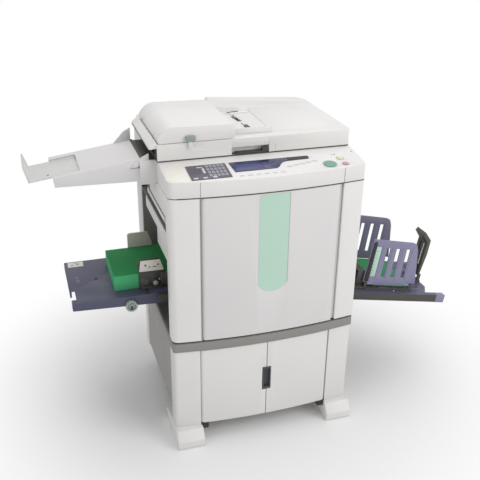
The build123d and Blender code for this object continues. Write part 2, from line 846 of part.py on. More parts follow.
def lid_outline(inset):
    """Side view of the feeder lid as a closed face, moved inward by inset."""
    left = lid_pivot_x - lid_nose + inset
    low = lid_base + inset
    top = lid_top - inset
    right = lid_right - inset
    shoulder = 64 - inset
    start = (left, adf_front, lid_pivot_z)
    bend = math.sqrt(0.5)
    arc = ThreePointArc(
        start, (left + shoulder * (1 - bend), adf_front, lid_pivot_z + (top - lid_pivot_z) * bend),
        (left + shoulder, adf_front, top))
    nose = ThreePointArc(
        (lid_pivot_x, adf_front, low),
        (lid_pivot_x - (lid_nose - inset) * bend, adf_front, lid_pivot_z - (lid_nose - inset) * bend), start)
    rest = Polyline(
        (left + shoulder, adf_front, top), (right - 8, adf_front, top - 3), (right, adf_front, top - 30),
        (right, adf_front, low + 8), (right - 10, adf_front, low), (lid_pivot_x, adf_front, low))
    return make_face([arc, nose] + rest.edges())


def adf_cover():
    lid = extrude(lid_outline(0), amount=lid_rear - adf_front, dir=(0, 1, 0))
    core = extrude(lid_outline(lid_wall), amount=lid_rear - adf_front - 2 * lid_wall, dir=(0, 1, 0))
    core = Pos(0, lid_wall, 0) * core
    mouth = block(lid_pivot_x + 14, lid_right - 14, adf_front + lid_wall + 2, lid_rear - lid_wall - 2,
                  lid_base - 1, lid_base + 8)
    lid = lid - core - mouth
    entry = block(lid_right - 20, lid_right + 5, guide_centre - guide_half, guide_centre + guide_half,
                  lid_base - 1, lid_base + entry_height)
    lid = lid - entry
    for y in (lug_front, lug_rear):
        lid = lid - block(lid_pivot_x - 14, lid_pivot_x + 12, y - 16.5, y - 7.5,
                          lid_base - 1, lid_pivot_z + 8.5)
        lid = lid + rod_y(lid_pivot_x, y - 7.5, y + 5.5, lid_pivot_z, lid_nose - 3)
        lid = lid - rod_y(lid_pivot_x, y - 9, y + 7, lid_pivot_z, lid_pin + run)
    return lid


nodes["adf_cover"] = adf_cover()


def adf_release_lever():
    """A short grip lever on the feeder's front, turning on its own stub."""
    stub = rod_y(lever_x, adf_front - 2, adf_front + 15, lever_z, 5)
    disc = rod_y(lever_x, adf_front - 8, adf_front - gap, lever_z, 7)
    neck = block(lever_x - 6, lever_x + 6, adf_front - 8, adf_front - 1, lever_z, lever_z + 18)
    grip = block(lever_x - 16, lever_x + 16, adf_front - 10, adf_front - 1, lever_z + 14, lever_z + 33)
    return stub + disc + neck + fillet(grip.edges().filter_by(Axis.Y), 6)


nodes["adf_release_lever"] = adf_release_lever()


def document_guide(side):
    """One of the two document guides: a low wall on a foot that runs in the slot."""
    y = guide_centre + side * guide_half
    inward = y - side * 24
    low = adf_top + gap
    high = adf_top + 3
    base = block(-60, 62, min(y, inward), max(y, inward), low, high)
    rim = block(-66, 64, y - 2.5, y + 2.5, low, adf_top + 20)
    reach = 4 - gap
    y0, y1 = sorted((inward, inward - side * 16))
    tongue = block(guide_slot_x - reach, guide_slot_x + reach, y0, y1, adf_top - 10, high)
    y0, y1 = sorted((inward, inward - side * 18))
    top = block(guide_slot_x - 6, guide_slot_x + 6, y0, y1, low, high)
    return base + rim + tongue + top


nodes["document_guide_front"] = document_guide(-1)
nodes["document_guide_rear"] = document_guide(1)


def adf_exit_roller():
    roller = rod_y(exit_roller_x, exit_roller_front - 7, exit_roller_rear + 7, exit_roller_z, 5)
    for step in range(4):
        y = exit_roller_front + 16 + step * 66
        roller = roller + rod_y(exit_roller_x, y, y + 30, exit_roller_z, 11)
    return roller


nodes["adf_exit_roller"] = adf_exit_roller()


# Document tray: a sloped tray on a bracket, and its pull-out end
def doc_place():
    """The tray's frame: X runs outward and down along the slope, Z is square to it."""
    return Pos(doc_root_x, 0, doc_root_z) * Rot(0, -doc_slope, 0)


ext_front = -86.0
ext_rear = 66.0
ext_inner = -186.0
ext_outer = -346.0


def document_tray():
    span = doc_rear - doc_front
    outline = [(12, 0), (-doc_length, 0), (-doc_length, -30), (12, -76)]
    solid = prism(outline, doc_front, span, "y")
    hollow = [(0, -doc_skin), (-doc_length + doc_skin, -doc_skin), (-doc_length + doc_skin, -60), (0, -90)]
    solid = solid - prism(hollow, doc_front + doc_skin, span - 2 * doc_skin, "y")
    solid = solid - block(-doc_length - 5, ext_inner, ext_front - 1, ext_rear + 1, -doc_skin - 6, 5)
    ledge = block(-doc_length, -90, ext_front - 8, ext_front, -14, -doc_skin)
    ledge = ledge + block(-doc_length, -90, ext_front - 8, ext_front + 10, -14, -doc_skin - 5)
    other = block(-doc_length, -90, ext_rear, ext_rear + 8, -14, -doc_skin)
    other = other + block(-doc_length, -90, ext_rear - 10, ext_rear + 8, -14, -doc_skin - 5)
    solid = solid + ledge + other
    tray = doc_place() * solid
    low = cover_top - 2
    bracket = block(doc_root_x - 2, -body_half, doc_front - 12, doc_rear, low, doc_root_z - 2)
    bracket = bracket - block(doc_root_x + 4, -body_half - 6, doc_front - 6, doc_rear - 6,
                              low - 1, doc_root_z - 8)
    rear_gusset = prism([(doc_root_x - 55, doc_root_z - 10), (doc_root_x - 19, doc_root_z + 30),
                         (doc_root_x + 6, doc_root_z + 44), (doc_root_x + 6, doc_root_z - 10)],
                        doc_rear - 4, 4, "y")
    front_gusset = prism([(doc_root_x - 32, doc_root_z - 27), (doc_root_x + 4, doc_root_z + 6),
                          (doc_root_x + 28, doc_root_z + 18), (doc_root_x + 28, doc_root_z - 27)],
                         doc_front - 6, 6, "y")
    return tray + bracket + rear_gusset + front_gusset


nodes["document_tray"] = document_tray()


def document_tray_extension():
    """The pull-out end with its upturned stop."""
    level = -doc_skin - 1
    plate = block(ext_outer, ext_inner + 2, ext_front + gap, ext_rear - gap, level - 3, level)
    outline = [(ext_outer, level - 3), (ext_outer - 6, 42), (ext_outer - 1, 44), (ext_outer + 8, level)]
    stop = prism(outline, ext_front + 6, ext_rear - ext_front - 12, "y")
    return doc_place() * (plate + stop)


nodes["document_tray_extension"] = document_tray_extension()

# Feed elevator, tray, fences, dial and paper
tray_top = paper_top - paper_thickness - gap
tray_low = tray_top - tray_depth


def feed_elevator():
    x0 = recess_x - rail_reach - 2
    lift = block(x0, x0 + 2 - gap, -lift_arm_y - 2, lift_arm_y + 2, tray_pivot_z - 32, tray_pivot_z + 6)
    for side in (-1, 1):
        arm = block(tray_pivot_x - 9, x0 + 1, side * lift_arm_y - 2, side * lift_arm_y + 2,
                    tray_pivot_z - 20, tray_pivot_z + 9)
        pin_outer = side * (lift_arm_y - 1)
        pin_inner = side * (tray_half - 12)
        pin = rod_y(tray_pivot_x, min(pin_outer, pin_inner), max(pin_outer, pin_inner), tray_pivot_z,
                    feed_pin_radius)
        for edge in (-1, 1):
            y = side * rail_y + edge * (3 + gap)
            guide = block(x0 + 1, recess_x - gap, min(y, y + edge * 4), max(y, y + edge * 4),
                          tray_pivot_z - 30, tray_pivot_z + 5)
            lift = lift + guide
        lift = lift + arm + pin
    return lift


nodes["feed_elevator"] = feed_elevator()


def feed_tray():
    tray = block(tray_outer, paper_inner - 4, -tray_half, tray_half, tray_low, tray_top)
    tray = tray - block(tray_outer + 6, paper_inner - 10, -tray_half + 6, tray_half - 6,
                        tray_low - 1, tray_top - tray_skin)
    tray = tray - block(tray_outer - 5, tray_outer + 16, notch_front, notch_rear, tray_low - 1, tray_top + 1)
    for side in (-1, 1):
        s0, s1 = sorted((side * (paper_half - 20), side * (tray_half - 1.5)))
        tray = tray - block(fence_slot_x - 6, fence_slot_x + 6, s0, s1, tray_top - 8, tray_top + 1)
        y0, y1 = sorted((side * (tray_half - 14), side * tray_half))
        boss = block(tray_pivot_x - 12, tray_pivot_x + 12, y0, y1, tray_low, tray_top)
        tray = tray + boss
        tray = tray - rod_y(tray_pivot_x, side * tray_half - 20, side * tray_half + 20, tray_pivot_z,
                            feed_pin_radius + run)
    tray = tray - rod_z(paper_outer - 50, 0, tray_low - 1, tray_top + 1, 6)
    spindle = rod_y(dial_x, -tray_half - 14, -tray_half + 1, dial_z, 4)
    hanger = block(dial_x - 9, dial_x + 9, -tray_half, -tray_half + 6, dial_z - 8, tray_low + 1)
    return tray + hanger + spindle


fence_slot_x = fence_outer + 24
dial_z = tray_low - 6
nodes["feed_tray"] = feed_tray()


def feed_fence(side):
    """A paper fence with its foot in the tray's slot and its lock knob."""
    face = side * (paper_half + 1)
    y0, y1 = sorted((face, face + side * fence_thickness))
    outline = [(fence_outer, tray_top + gap), (fence_inner - 12, tray_top + gap),
               (fence_inner - 12, fence_top - 40), (fence_inner - 28, fence_top),
               (fence_outer + 6, fence_top), (fence_outer, fence_top - 6)]
    fence = prism(outline, y0, y1 - y0, "y")
    f0, f1 = sorted((face - side * 18, face + side * fence_thickness))
    foot = block(fence_slot_x - 5.7, fence_slot_x + 5.7, f0, f1, tray_top - 3.5, tray_top - gap)
    foot = foot + block(fence_slot_x - 5.7, fence_slot_x + 5.7, y0, y1, tray_top - 3.5, tray_top + 4)
    knob = rod_y(fence_outer + 54, min(face, face + side * 20), max(face, face + side * 20), tray_top + 24, 10)
    ramp = block(fence_outer + 8, fence_inner - 20, y0 if side > 0 else y0 - 10, y1 + 10 if side > 0 else y1,
                 tray_top + gap, tray_top + 10)
    return fence + foot + knob + ramp


nodes["feed_fence_front"] = feed_fence(-1)
nodes["feed_fence_rear"] = feed_fence(1)


def feed_dial():
    dial = rod_y(dial_x, -tray_half - 13, -tray_half - 0.5, dial_z, dial_radius)
    dial = dial - rod_y(dial_x, -tray_half - 20, -tray_half - 8, dial_z, dial_radius - 6)
    dial = dial + rod_y(dial_x, -tray_half - 13, -tray_half - 0.5, dial_z, 9)
    for step in range(12):
        angle = math.radians(step * 30)
        x = dial_x + dial_radius * math.cos(angle)
        z = dial_z + dial_radius * math.sin(angle)
        dial = dial - rod_y(x, -tray_half - 14, -tray_half, z, 2)
    return dial - rod_y(dial_x, -tray_half - 14, -tray_half, dial_z, 4 + run)


nodes["feed_dial"] = feed_dial()
nodes["paper_stack"] = block(
    paper_outer, paper_inner, -paper_half, paper_half, paper_top - paper_thickness, paper_top)


def pickup_roller():
    shaft = rod_y(pickup_x, -68, 68, pickup_z, pickup_shaft)
    return shaft + rod_y(pickup_x, -48, 48, pickup_z, pickup_radius)


nodes["pickup_roller"] = pickup_roller()


# Disposal box, a drawer in the slot of the left cover
def disposal_box():
    x0 = -body_half + 9
    low = recess_top + sheet + gap
    box = block(x0, box_inner, box_front, box_rear, low, low + box_height)
    box = box - block(x0 + 4, box_inner - 3, box_front + 3, box_rear - 3, low + 3, low + box_height + 1)
    rib = block(x0 - 4, x0 + 1, box_front, box_rear, low + 18, low + 34)
    return box + rib


nodes["disposal_box"] = disposal_box()


# Receiving tray, built level at its pivot and then laid on its slope
def receive_place():
    return Pos(receive_pivot_x, 0, receive_pivot_z) * Rot(0, receive_slope, 0)


surface = -receive_drop
slider_from = 90.0
slider_to = 300.0
groove_at = 225.0
stop_slot_from = 290.0
fence_windows = (108.0, 151.0, 193.0, 238.0)


def receiving_bracket():
    x0 = body_half
    outer = receive_half + 12
    bar = block(x0, x0 + 8, -outer, outer, exit_bottom - 58, exit_bottom - 8)
    bracket = bar
    for side in (-1, 1):
        y0, y1 = sorted((side * (receive_half + 4), side * outer))
        outline = [(x0, exit_bottom - 58), (x0, exit_bottom + 22), (receive_pivot_x, receive_pivot_z + 12),
                   (receive_pivot_x + 12, receive_pivot_z), (receive_pivot_x + 10, receive_pivot_z - 14)]
        ear = prism(outline, y0, y1 - y0, "y")
        p0, p1 = sorted((side * (receive_half - 13), side * (receive_half + 5)))
        bracket = bracket + ear + rod_y(receive_pivot_x, p0, p1, receive_pivot_z, receive_pin)
    return bracket


nodes["receiving_bracket"] = receiving_bracket()


def receiving_tray():
    inner = receive_half - rail_width
    plate = prism([(6, -inner), (receive_length - 30, -inner), (receive_length, -inner + 50),
                   (receive_length, inner - 50), (receive_length - 30, inner), (6, inner)], surface - 6, 6, "z")
    tray = plate
    for side in (-1, 1):
        y0, y1 = sorted((side * inner, side * receive_half))
        profile = [(-10, surface - rail_depth), (rail_length, surface - rail_depth), (rail_length, surface),
                   (22, surface), (12, 10), (-10, 10)]
        rail = prism(profile, y0, rail_width, "y")
        rail = rail - rod_y(0, y0 - 5, y1 + 5, 0, receive_pin + run)
        tray = tray + rail
    for side in (-1, 1):
        y0, y1 = sorted((side * 62, side * (inner - 0.5)))
        tray = tray - block(groove_at - 6, groove_at + 6, y0, y1, surface - 8, surface + 1)
    tray = tray - block(stop_slot_from, stopper_at + 8, -6, 6, surface - 8, surface + 1)
    return receive_place() * tray


nodes["receiving_tray"] = receiving_tray()

front_axis_height = surface + 20
rear_axis_height = surface + 30
stop_axis_height = surface + 30


def fence_axis(side):
    """Y and height of a receiving fence's fold axis, in the tray's frame."""
    return side * (print_half + 5), front_axis_height if side < 0 else rear_axis_height


def receiving_slider(side):
    """A flat slide with the two ears that carry a fence's fold pins."""
    y, z = fence_axis(side)
    low, high = sorted((y - side * 46, y + side * 13))
    base = block(slider_from, slider_to, low, high, surface + gap, surface + 7)
    for x in (slider_from, slider_to - 12):
        base = base + block(x, x + 12, y - 4, y + 4, surface + 2, z + 4)
    low, high = sorted((y - side * 44, y - side * 26))
    base = base + block(groove_at - 5.7, groove_at + 5.7, low, high, surface - 5.5, surface + 2)
    pin = rod_x(slider_from + 6, slider_from + 24, y, z, 2)
    pin = pin + rod_x(slider_to - 24, slider_to - 6, y, z, 2)
    return receive_place() * (base + pin)


def receiving_fence(side):
    """A tall fence with slanted windows, which folds down outward over the rail."""
    y, z = fence_axis(side)
    half = receive_fence_thickness / 2
    outline = [(slider_from + 13, z - 4), (slider_to - 13, z - 4), (slider_to - 13, z + 8),
               (slider_to + 14, z + 8), (slider_to - 17, z + 150), (slider_to - 28, z + 172),
               (slider_to - 44, z + 178), (slider_from - 6, z + receive_fence_height),
               (slider_from - 8, z + 8), (slider_from + 13, z + 8)]
    fence = prism(outline, y - half, 2 * half, "y")
    for x in fence_windows:
        window = prism([(x + 2, z + 30), (x + 18, z + 30), (x + 12, z + 150), (x - 4, z + 150)],
                       y - 10, 20, "y")
        fence = fence - window
    knuckle = rod_x(slider_from + 13, slider_from + 34, y, z, 4)
    knuckle = knuckle + rod_x(slider_to - 34, slider_to - 13, y, z, 4)
    fence = fence + knuckle - rod_x(slider_from, slider_to, y, z, 2 + run)
    return receive_place() * fence


for name, side in (("front", -1), ("rear", 1)):
    nodes["receiving_slider_" + name] = receiving_slider(side)
    nodes["receiving_fence_" + name] = receiving_fence(side)


def stopper_slider():
    base = block(stopper_at - 22, stopper_at + 10, -stopper_half, stopper_half, surface + gap, surface + 8)
    base = base + block(stopper_at - 20, stopper_at + 6, -5.7, 5.7, surface - 5.5, surface + 2)
    for side in (-1, 1):
        y0, y1 = sorted((side * (stopper_half - 8), side * stopper_half))
        base = base + block(stopper_at - 6, stopper_at + 6, y0, y1, surface + 2, stop_axis_height + 5)
    pin = rod_y(stopper_at, -stopper_half + 2, stopper_half - 2, stop_axis_height, 2.5)
    return receive_place() * (base + pin)


def end_stopper():
    """The end plate with its slit and its hooked top."""
    reach = stopper_half - 9
    outline = [(stopper_at - 4, stop_axis_height - 4), (stopper_at + 4, stop_axis_height - 4),
               (stopper_at + 12, stop_axis_height + 90), (stopper_at + 10, stop_axis_height + 150),
               (stopper_at - 22, stop_axis_height + stopper_height), (stopper_at - 30, stop_axis_height + 168),
               (stopper_at - 4, stop_axis_height + 140)]
    plate = prism(outline, -reach, 2 * reach, "y")
    plate = plate - block(stopper_at - 40, stopper_at + 40, 4, 12,
                          stop_axis_height + 40, stop_axis_height + 130)
    plate = plate - rod_y(stopper_at, -stopper_half, stopper_half, stop_axis_height, 2.5 + run)
    return receive_place() * plate


nodes["stopper_slider"] = stopper_slider()
nodes["end_stopper"] = end_stopper()


# Print drum and its core, ink, press roller
def print_drum():
    drum = rod_y(drum_x, drum_front, drum_rear, drum_z, drum_radius)
    drum = drum - rod_y(drum_x, drum_front + 6, drum_rear - 6, drum_z, drum_radius - drum_wall)
    return drum - rod_y(drum_x, drum_front - 5, drum_rear + 5, drum_z, core_radius + run)


nodes["print_drum"] = print_drum()


def drum_core():
    """Fixed carrier inside the drum, with its front plate, handle and rear stub."""
    front = frame_front
    plate = rod_y(drum_x, front, front + 6, drum_z, drum_opening - seat)
    tube = rod_y(drum_x, front + 3, drum_rear + 12, drum_z, core_radius)
    tube = tube - rod_y(drum_x, front - 5, drum_rear + 6, drum_z, core_radius - core_wall)
    plate = plate - rod_y(drum_x, front - 5, front + 9, drum_z, core_radius - core_wall)
    stub = rod_y(drum_x, drum_rear + 10, frame_rear, drum_z, stub_radius)
    core = plate + tube + stub
    handle = block(drum_x - 45, drum_x + 45, front - 22, front - 14, drum_z + 62, drum_z + 78)
    for side in (-1, 1):
        leg_x = drum_x + side * 40
        handle = handle + block(leg_x - 5, leg_x + 5, front - 20, front + 2, drum_z + 62, drum_z + 78)
    return core + handle


nodes["drum_core"] = drum_core()


def ink_cartridge():
    body = rod_y(drum_x, frame_front - 8, drum_rear - 20, drum_z, core_radius - core_wall - seat)
    grip = block(drum_x - 30, drum_x + 30, frame_front - 20, frame_front - 7, drum_z - 5, drum_z + 5)
    return body + grip


nodes["ink_cartridge"] = ink_cartridge()


def press_roller():
    shaft = rod_y(drum_x, frame_front - 2, frame_rear + 2, press_z, press_shaft)
    return shaft + rod_y(drum_x, drum_front + 12, drum_rear - 12, press_z, press_radius)


nodes["press_roller"] = press_roller()


def master_unit():
    """Master-making unit: an open cradle with its roll of master film."""
    y0 = frame_front + frame_sheet
    y1 = frame_rear - frame_sheet
    box = block(master_left, master_right, y0, y1, master_bottom, master_top)
    pocket = block(master_left + 50, master_right - 6, y0 + 6, y1 - 6, master_bottom + 6, master_top + 5)
    head = block(master_left + 6, master_left + 40, y0 + 6, y1 - 6, master_bottom + 20, master_top + 5)
    box = box - pocket - head
    roll = rod_y(master_right - 58, y0 + 6, y1 - 6, master_bottom + 56, 44)
    return group(box, roll)


nodes["master_unit"] = master_unit()


def main_motor():
    body = rod_y(motor_x, frame_rear, frame_rear + 62, motor_z, motor_radius)
    shaft = rod_y(motor_x, frame_rear - 20, frame_rear + 70, motor_z, motor_shaft)
    return body + shaft


nodes["main_motor"] = main_motor()


def print_exit_unit():
    """Suction belts that carry each print to the exit."""
    body = block(belt_left, frame_right, -belt_half, belt_half, belt_low, belt_high)
    for y in (-90, -30, 30, 90):
        body = body + block(belt_left - 4, frame_right + 4, y - 10, y + 10, belt_low - 2, belt_high + 3)
    middle = (belt_low + belt_high) / 2
    for x in (belt_left + 20, frame_right - 20):
        body = body + rod_y(x, frame_front + frame_sheet, frame_rear - frame_sheet, middle, 5)
    return body


nodes["print_exit_unit"] = print_exit_unit()


def power_supply():
    back = rear_y - wall - 8
    top = pan_top + supply_height
    case = block(supply_left, supply_right, frame_rear, back, pan_top, top)
    return case - block(supply_left + sheet_case, supply_right - sheet_case, frame_rear + sheet_case,
                        back - sheet_case, pan_top - 1, top - sheet_case)


nodes["power_supply"] = power_supply()

# The motor's shaft passes through the rear plate
shaft_hole = rod_y(motor_x, frame_rear - 30, frame_rear + 5, motor_z, motor_shaft + seat)
nodes["main_frame"] = nodes["main_frame"] - shaft_hole

# Origin under the middle of the whole machine, at the floor
box_all = Compound(children=[Compound(part.solids()) for part in nodes.values()]).bounding_box()
origin_x = (box_all.min.X + box_all.max.X) / 2
origin_y = (box_all.min.Y + box_all.max.Y) / 2
shift = Pos(-origin_x, -origin_y, -box_all.min.Z)

os.makedirs("parts", exist_ok=True)
for name, part in nodes.items():
    export_step(Compound(children=(shift * Compound(part.solids())).solids()), "parts/" + name + ".step")

print("nodes", len(nodes), "origin", round(origin_x, 3), round(origin_y, 3), round(box_all.min.Z, 3))
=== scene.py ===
# %% [markdown]
# # A digital duplicator on its cabinet stand
#
# The real machine is a row of large ABS mouldings round a sheet-steel frame. The CAD model already
# has every moulding at its true size, so this lesson dresses those solids: edges get the small
# radius a mould leaves, small parts are added by bmesh, and each surface gets a material that
# behaves like the real one.

# %% Load the frame
import json
import math

import bmesh
import bpy
from mathutils import Matrix, Vector


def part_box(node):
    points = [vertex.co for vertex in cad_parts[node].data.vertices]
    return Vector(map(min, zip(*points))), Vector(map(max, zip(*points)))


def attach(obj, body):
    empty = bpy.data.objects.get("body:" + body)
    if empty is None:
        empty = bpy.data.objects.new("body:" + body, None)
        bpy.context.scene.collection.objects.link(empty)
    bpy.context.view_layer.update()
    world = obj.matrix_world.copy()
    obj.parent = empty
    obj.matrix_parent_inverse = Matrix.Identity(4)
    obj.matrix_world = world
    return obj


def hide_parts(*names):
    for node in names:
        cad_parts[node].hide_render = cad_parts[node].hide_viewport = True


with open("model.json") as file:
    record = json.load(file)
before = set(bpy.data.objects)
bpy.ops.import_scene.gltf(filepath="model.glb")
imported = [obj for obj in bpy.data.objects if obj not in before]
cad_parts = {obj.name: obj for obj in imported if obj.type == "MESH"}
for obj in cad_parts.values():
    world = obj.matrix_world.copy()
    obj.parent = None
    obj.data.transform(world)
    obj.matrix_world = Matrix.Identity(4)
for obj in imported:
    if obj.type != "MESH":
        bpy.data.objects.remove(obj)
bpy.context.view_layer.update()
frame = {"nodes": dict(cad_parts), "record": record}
nodes = frame["nodes"]

# %% [markdown]
# ## Places in millimetres
#
# The part was measured in a frame whose X is zero in the middle of the stand and whose Y is 251 mm
# at the stand's back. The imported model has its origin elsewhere, so the stand's own box gives the
# shift. Every place below is then written in the machine's millimetres.

# %% Machine millimetres to metres
STAND_REAR = 251.0
stand_low, stand_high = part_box("stand_posts")
shift_x = (stand_low[0] + stand_high[0]) / 2
shift_y = stand_high[1] - STAND_REAR / 1000


def at(x, y, z):
    """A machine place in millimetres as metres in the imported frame."""
    return Vector((x / 1000 + shift_x, y / 1000 + shift_y, z / 1000))


print("shift", round(shift_x, 5), round(shift_y, 5))

# %% [markdown]
# ## Camera
#
# The photograph was taken from the left of the front, a little above the feeder, with a short
# telephoto lens. Its place was solved from the straight edges of the machine.

# %% Camera
YAW = math.radians(-17.76)
PITCH = math.radians(25.37)
ROLL = math.radians(0.70)
FOCAL_PX = 721.4
FRAME_PX = 480.0
SENSOR_MM = 36.0
CAMERA_MM = (-730.0, -2256.0, 1750.0)

back = Vector((math.sin(YAW) * math.cos(PITCH), -math.cos(YAW) * math.cos(PITCH), math.sin(PITCH)))
right = Vector((math.cos(YAW), math.sin(YAW), 0.0))
up = back.cross(right)
right_rolled = math.cos(ROLL) * right + math.sin(ROLL) * up
up_rolled = -math.sin(ROLL) * right + math.cos(ROLL) * up
camera_data = bpy.data.cameras.new("camera")
camera_data.sensor_width = SENSOR_MM
camera_data.lens = FOCAL_PX / FRAME_PX * SENSOR_MM
camera = bpy.data.objects.new("camera", camera_data)
pose = Matrix((right_rolled, up_rolled, back)).transposed().to_4x4()
pose.translation = at(*CAMERA_MM)
camera.matrix_world = pose
bpy.context.scene.collection.objects.link(camera)
bpy.context.scene.camera = camera
print("lens", round(camera_data.lens, 2))

# %% [markdown]
# ## Colours and shader nodes
#
# Colours are written as sRGB hex and turned to linear light once. One helper adds a shader node,
# sets its values and links its inputs.

# %% Colour and node helpers
MIX_AMOUNT, MIX_FIRST, MIX_SECOND, MIX_RESULT = 0, 6, 7, 2      # the colour sockets of a mix node


def linear(code):
    """An sRGB hex colour as linear RGBA."""
    values = []
    for start in (0, 2, 4):
        c = int(code[start:start + 2], 16) / 255
        values.append(c / 12.92 if c <= 0.04045 else ((c + 0.055) / 1.055) ** 2.4)
    return (*values, 1.0)


def add(tree, kind, values=None, links=None, **settings):
    """A node of that kind, with its settings, its input values and its input links."""
    node = tree.nodes.new(kind)
    for key, value in settings.items():
        setattr(node, key, value)
    for key, value in (values or {}).items():
        node.inputs[key].default_value = value
    for key, socket in (links or {}).items():
        tree.links.new(socket, node.inputs[key])
    return node


def blend_colours(tree, amount, first, second):
    """The output of a colour mix from the first to the second by the amount socket."""
    mix = tree.nodes.new("ShaderNodeMix")
    mix.data_type = "RGBA"
    mix.inputs[MIX_FIRST].default_value = linear(first)
    mix.inputs[MIX_SECOND].default_value = linear(second)
    tree.links.new(amount, mix.inputs[MIX_AMOUNT])
    return mix.outputs[MIX_RESULT]


def blank(name):
    """A new material with only its output, and a texture coordinate node."""
    material = bpy.data.materials.new(name)
    material.use_nodes = True
    tree = material.node_tree
    tree.nodes.clear()
    output = add(tree, "ShaderNodeOutputMaterial")
    coordinate = add(tree, "ShaderNodeTexCoord")
    return material, tree, output, coordinate.outputs["Object"]


# %% [markdown]
# ## Moulded ABS
#
# The casing is injection-moulded ABS with a spark-eroded texture of about a third of a millimetre.
# At this distance that grain would vanish, so it is drawn at about a millimetre. It softens the
# gloss and breaks up the highlight. A broad, faint change of tone stands for years of light and
# handling.

# %% Moulded plastic
PLASTIC_IOR = 1.54
DRIFT_SCALE = 3.2           # cells of the broad tone per metre
SMUDGE_SCALE = 14.0         # cells of the uneven gloss per metre
GRAIN_DEPTH = 0.0004        # metres
FULL_DRIFT = 0.35           # share of the second tone where it is strongest


def moulded(name, colour, shade, roughness=0.42, grain_mm=1.1, bump=0.10):
    """Moulded plastic: fine grain, faint drift between two tones, slightly uneven gloss."""
    material, tree, output, where = blank(name)
    broad = add(tree, "ShaderNodeTexNoise",
                {"Scale": DRIFT_SCALE, "Detail": 2.0, "Roughness": 0.5}, {"Vector": where})
    tone = add(tree, "ShaderNodeMapRange",
               {"From Min": 0.35, "From Max": 0.75, "To Min": 0.0, "To Max": FULL_DRIFT},
               {"Value": broad.outputs["Fac"]})
    tint = blend_colours(tree, tone.outputs["Result"], colour, shade)
    grain = add(tree, "ShaderNodeTexNoise",
                {"Scale": 1000.0 / grain_mm, "Detail": 3.0, "Roughness": 0.6}, {"Vector": where})
    smudge = add(tree, "ShaderNodeTexNoise",
                 {"Scale": SMUDGE_SCALE, "Detail": 4.0, "Roughness": 0.6}, {"Vector": where})
    gloss = add(tree, "ShaderNodeMapRange",
                {"From Min": 0.3, "From Max": 0.7, "To Min": roughness - 0.05, "To Max": roughness + 0.06},
                {"Value": smudge.outputs["Fac"]})
    relief = add(tree, "ShaderNodeBump", {"Strength": bump, "Distance": GRAIN_DEPTH},
                 {"Height": grain.outputs["Fac"]})
    shader = add(tree, "ShaderNodeBsdfPrincipled", {"IOR": PLASTIC_IOR},
                 {"Base Color": tint, "Roughness": gloss.outputs["Result"],
                  "Normal": relief.outputs["Normal"]})
    tree.links.new(shader.outputs["BSDF"], output.inputs["Surface"])
    return material
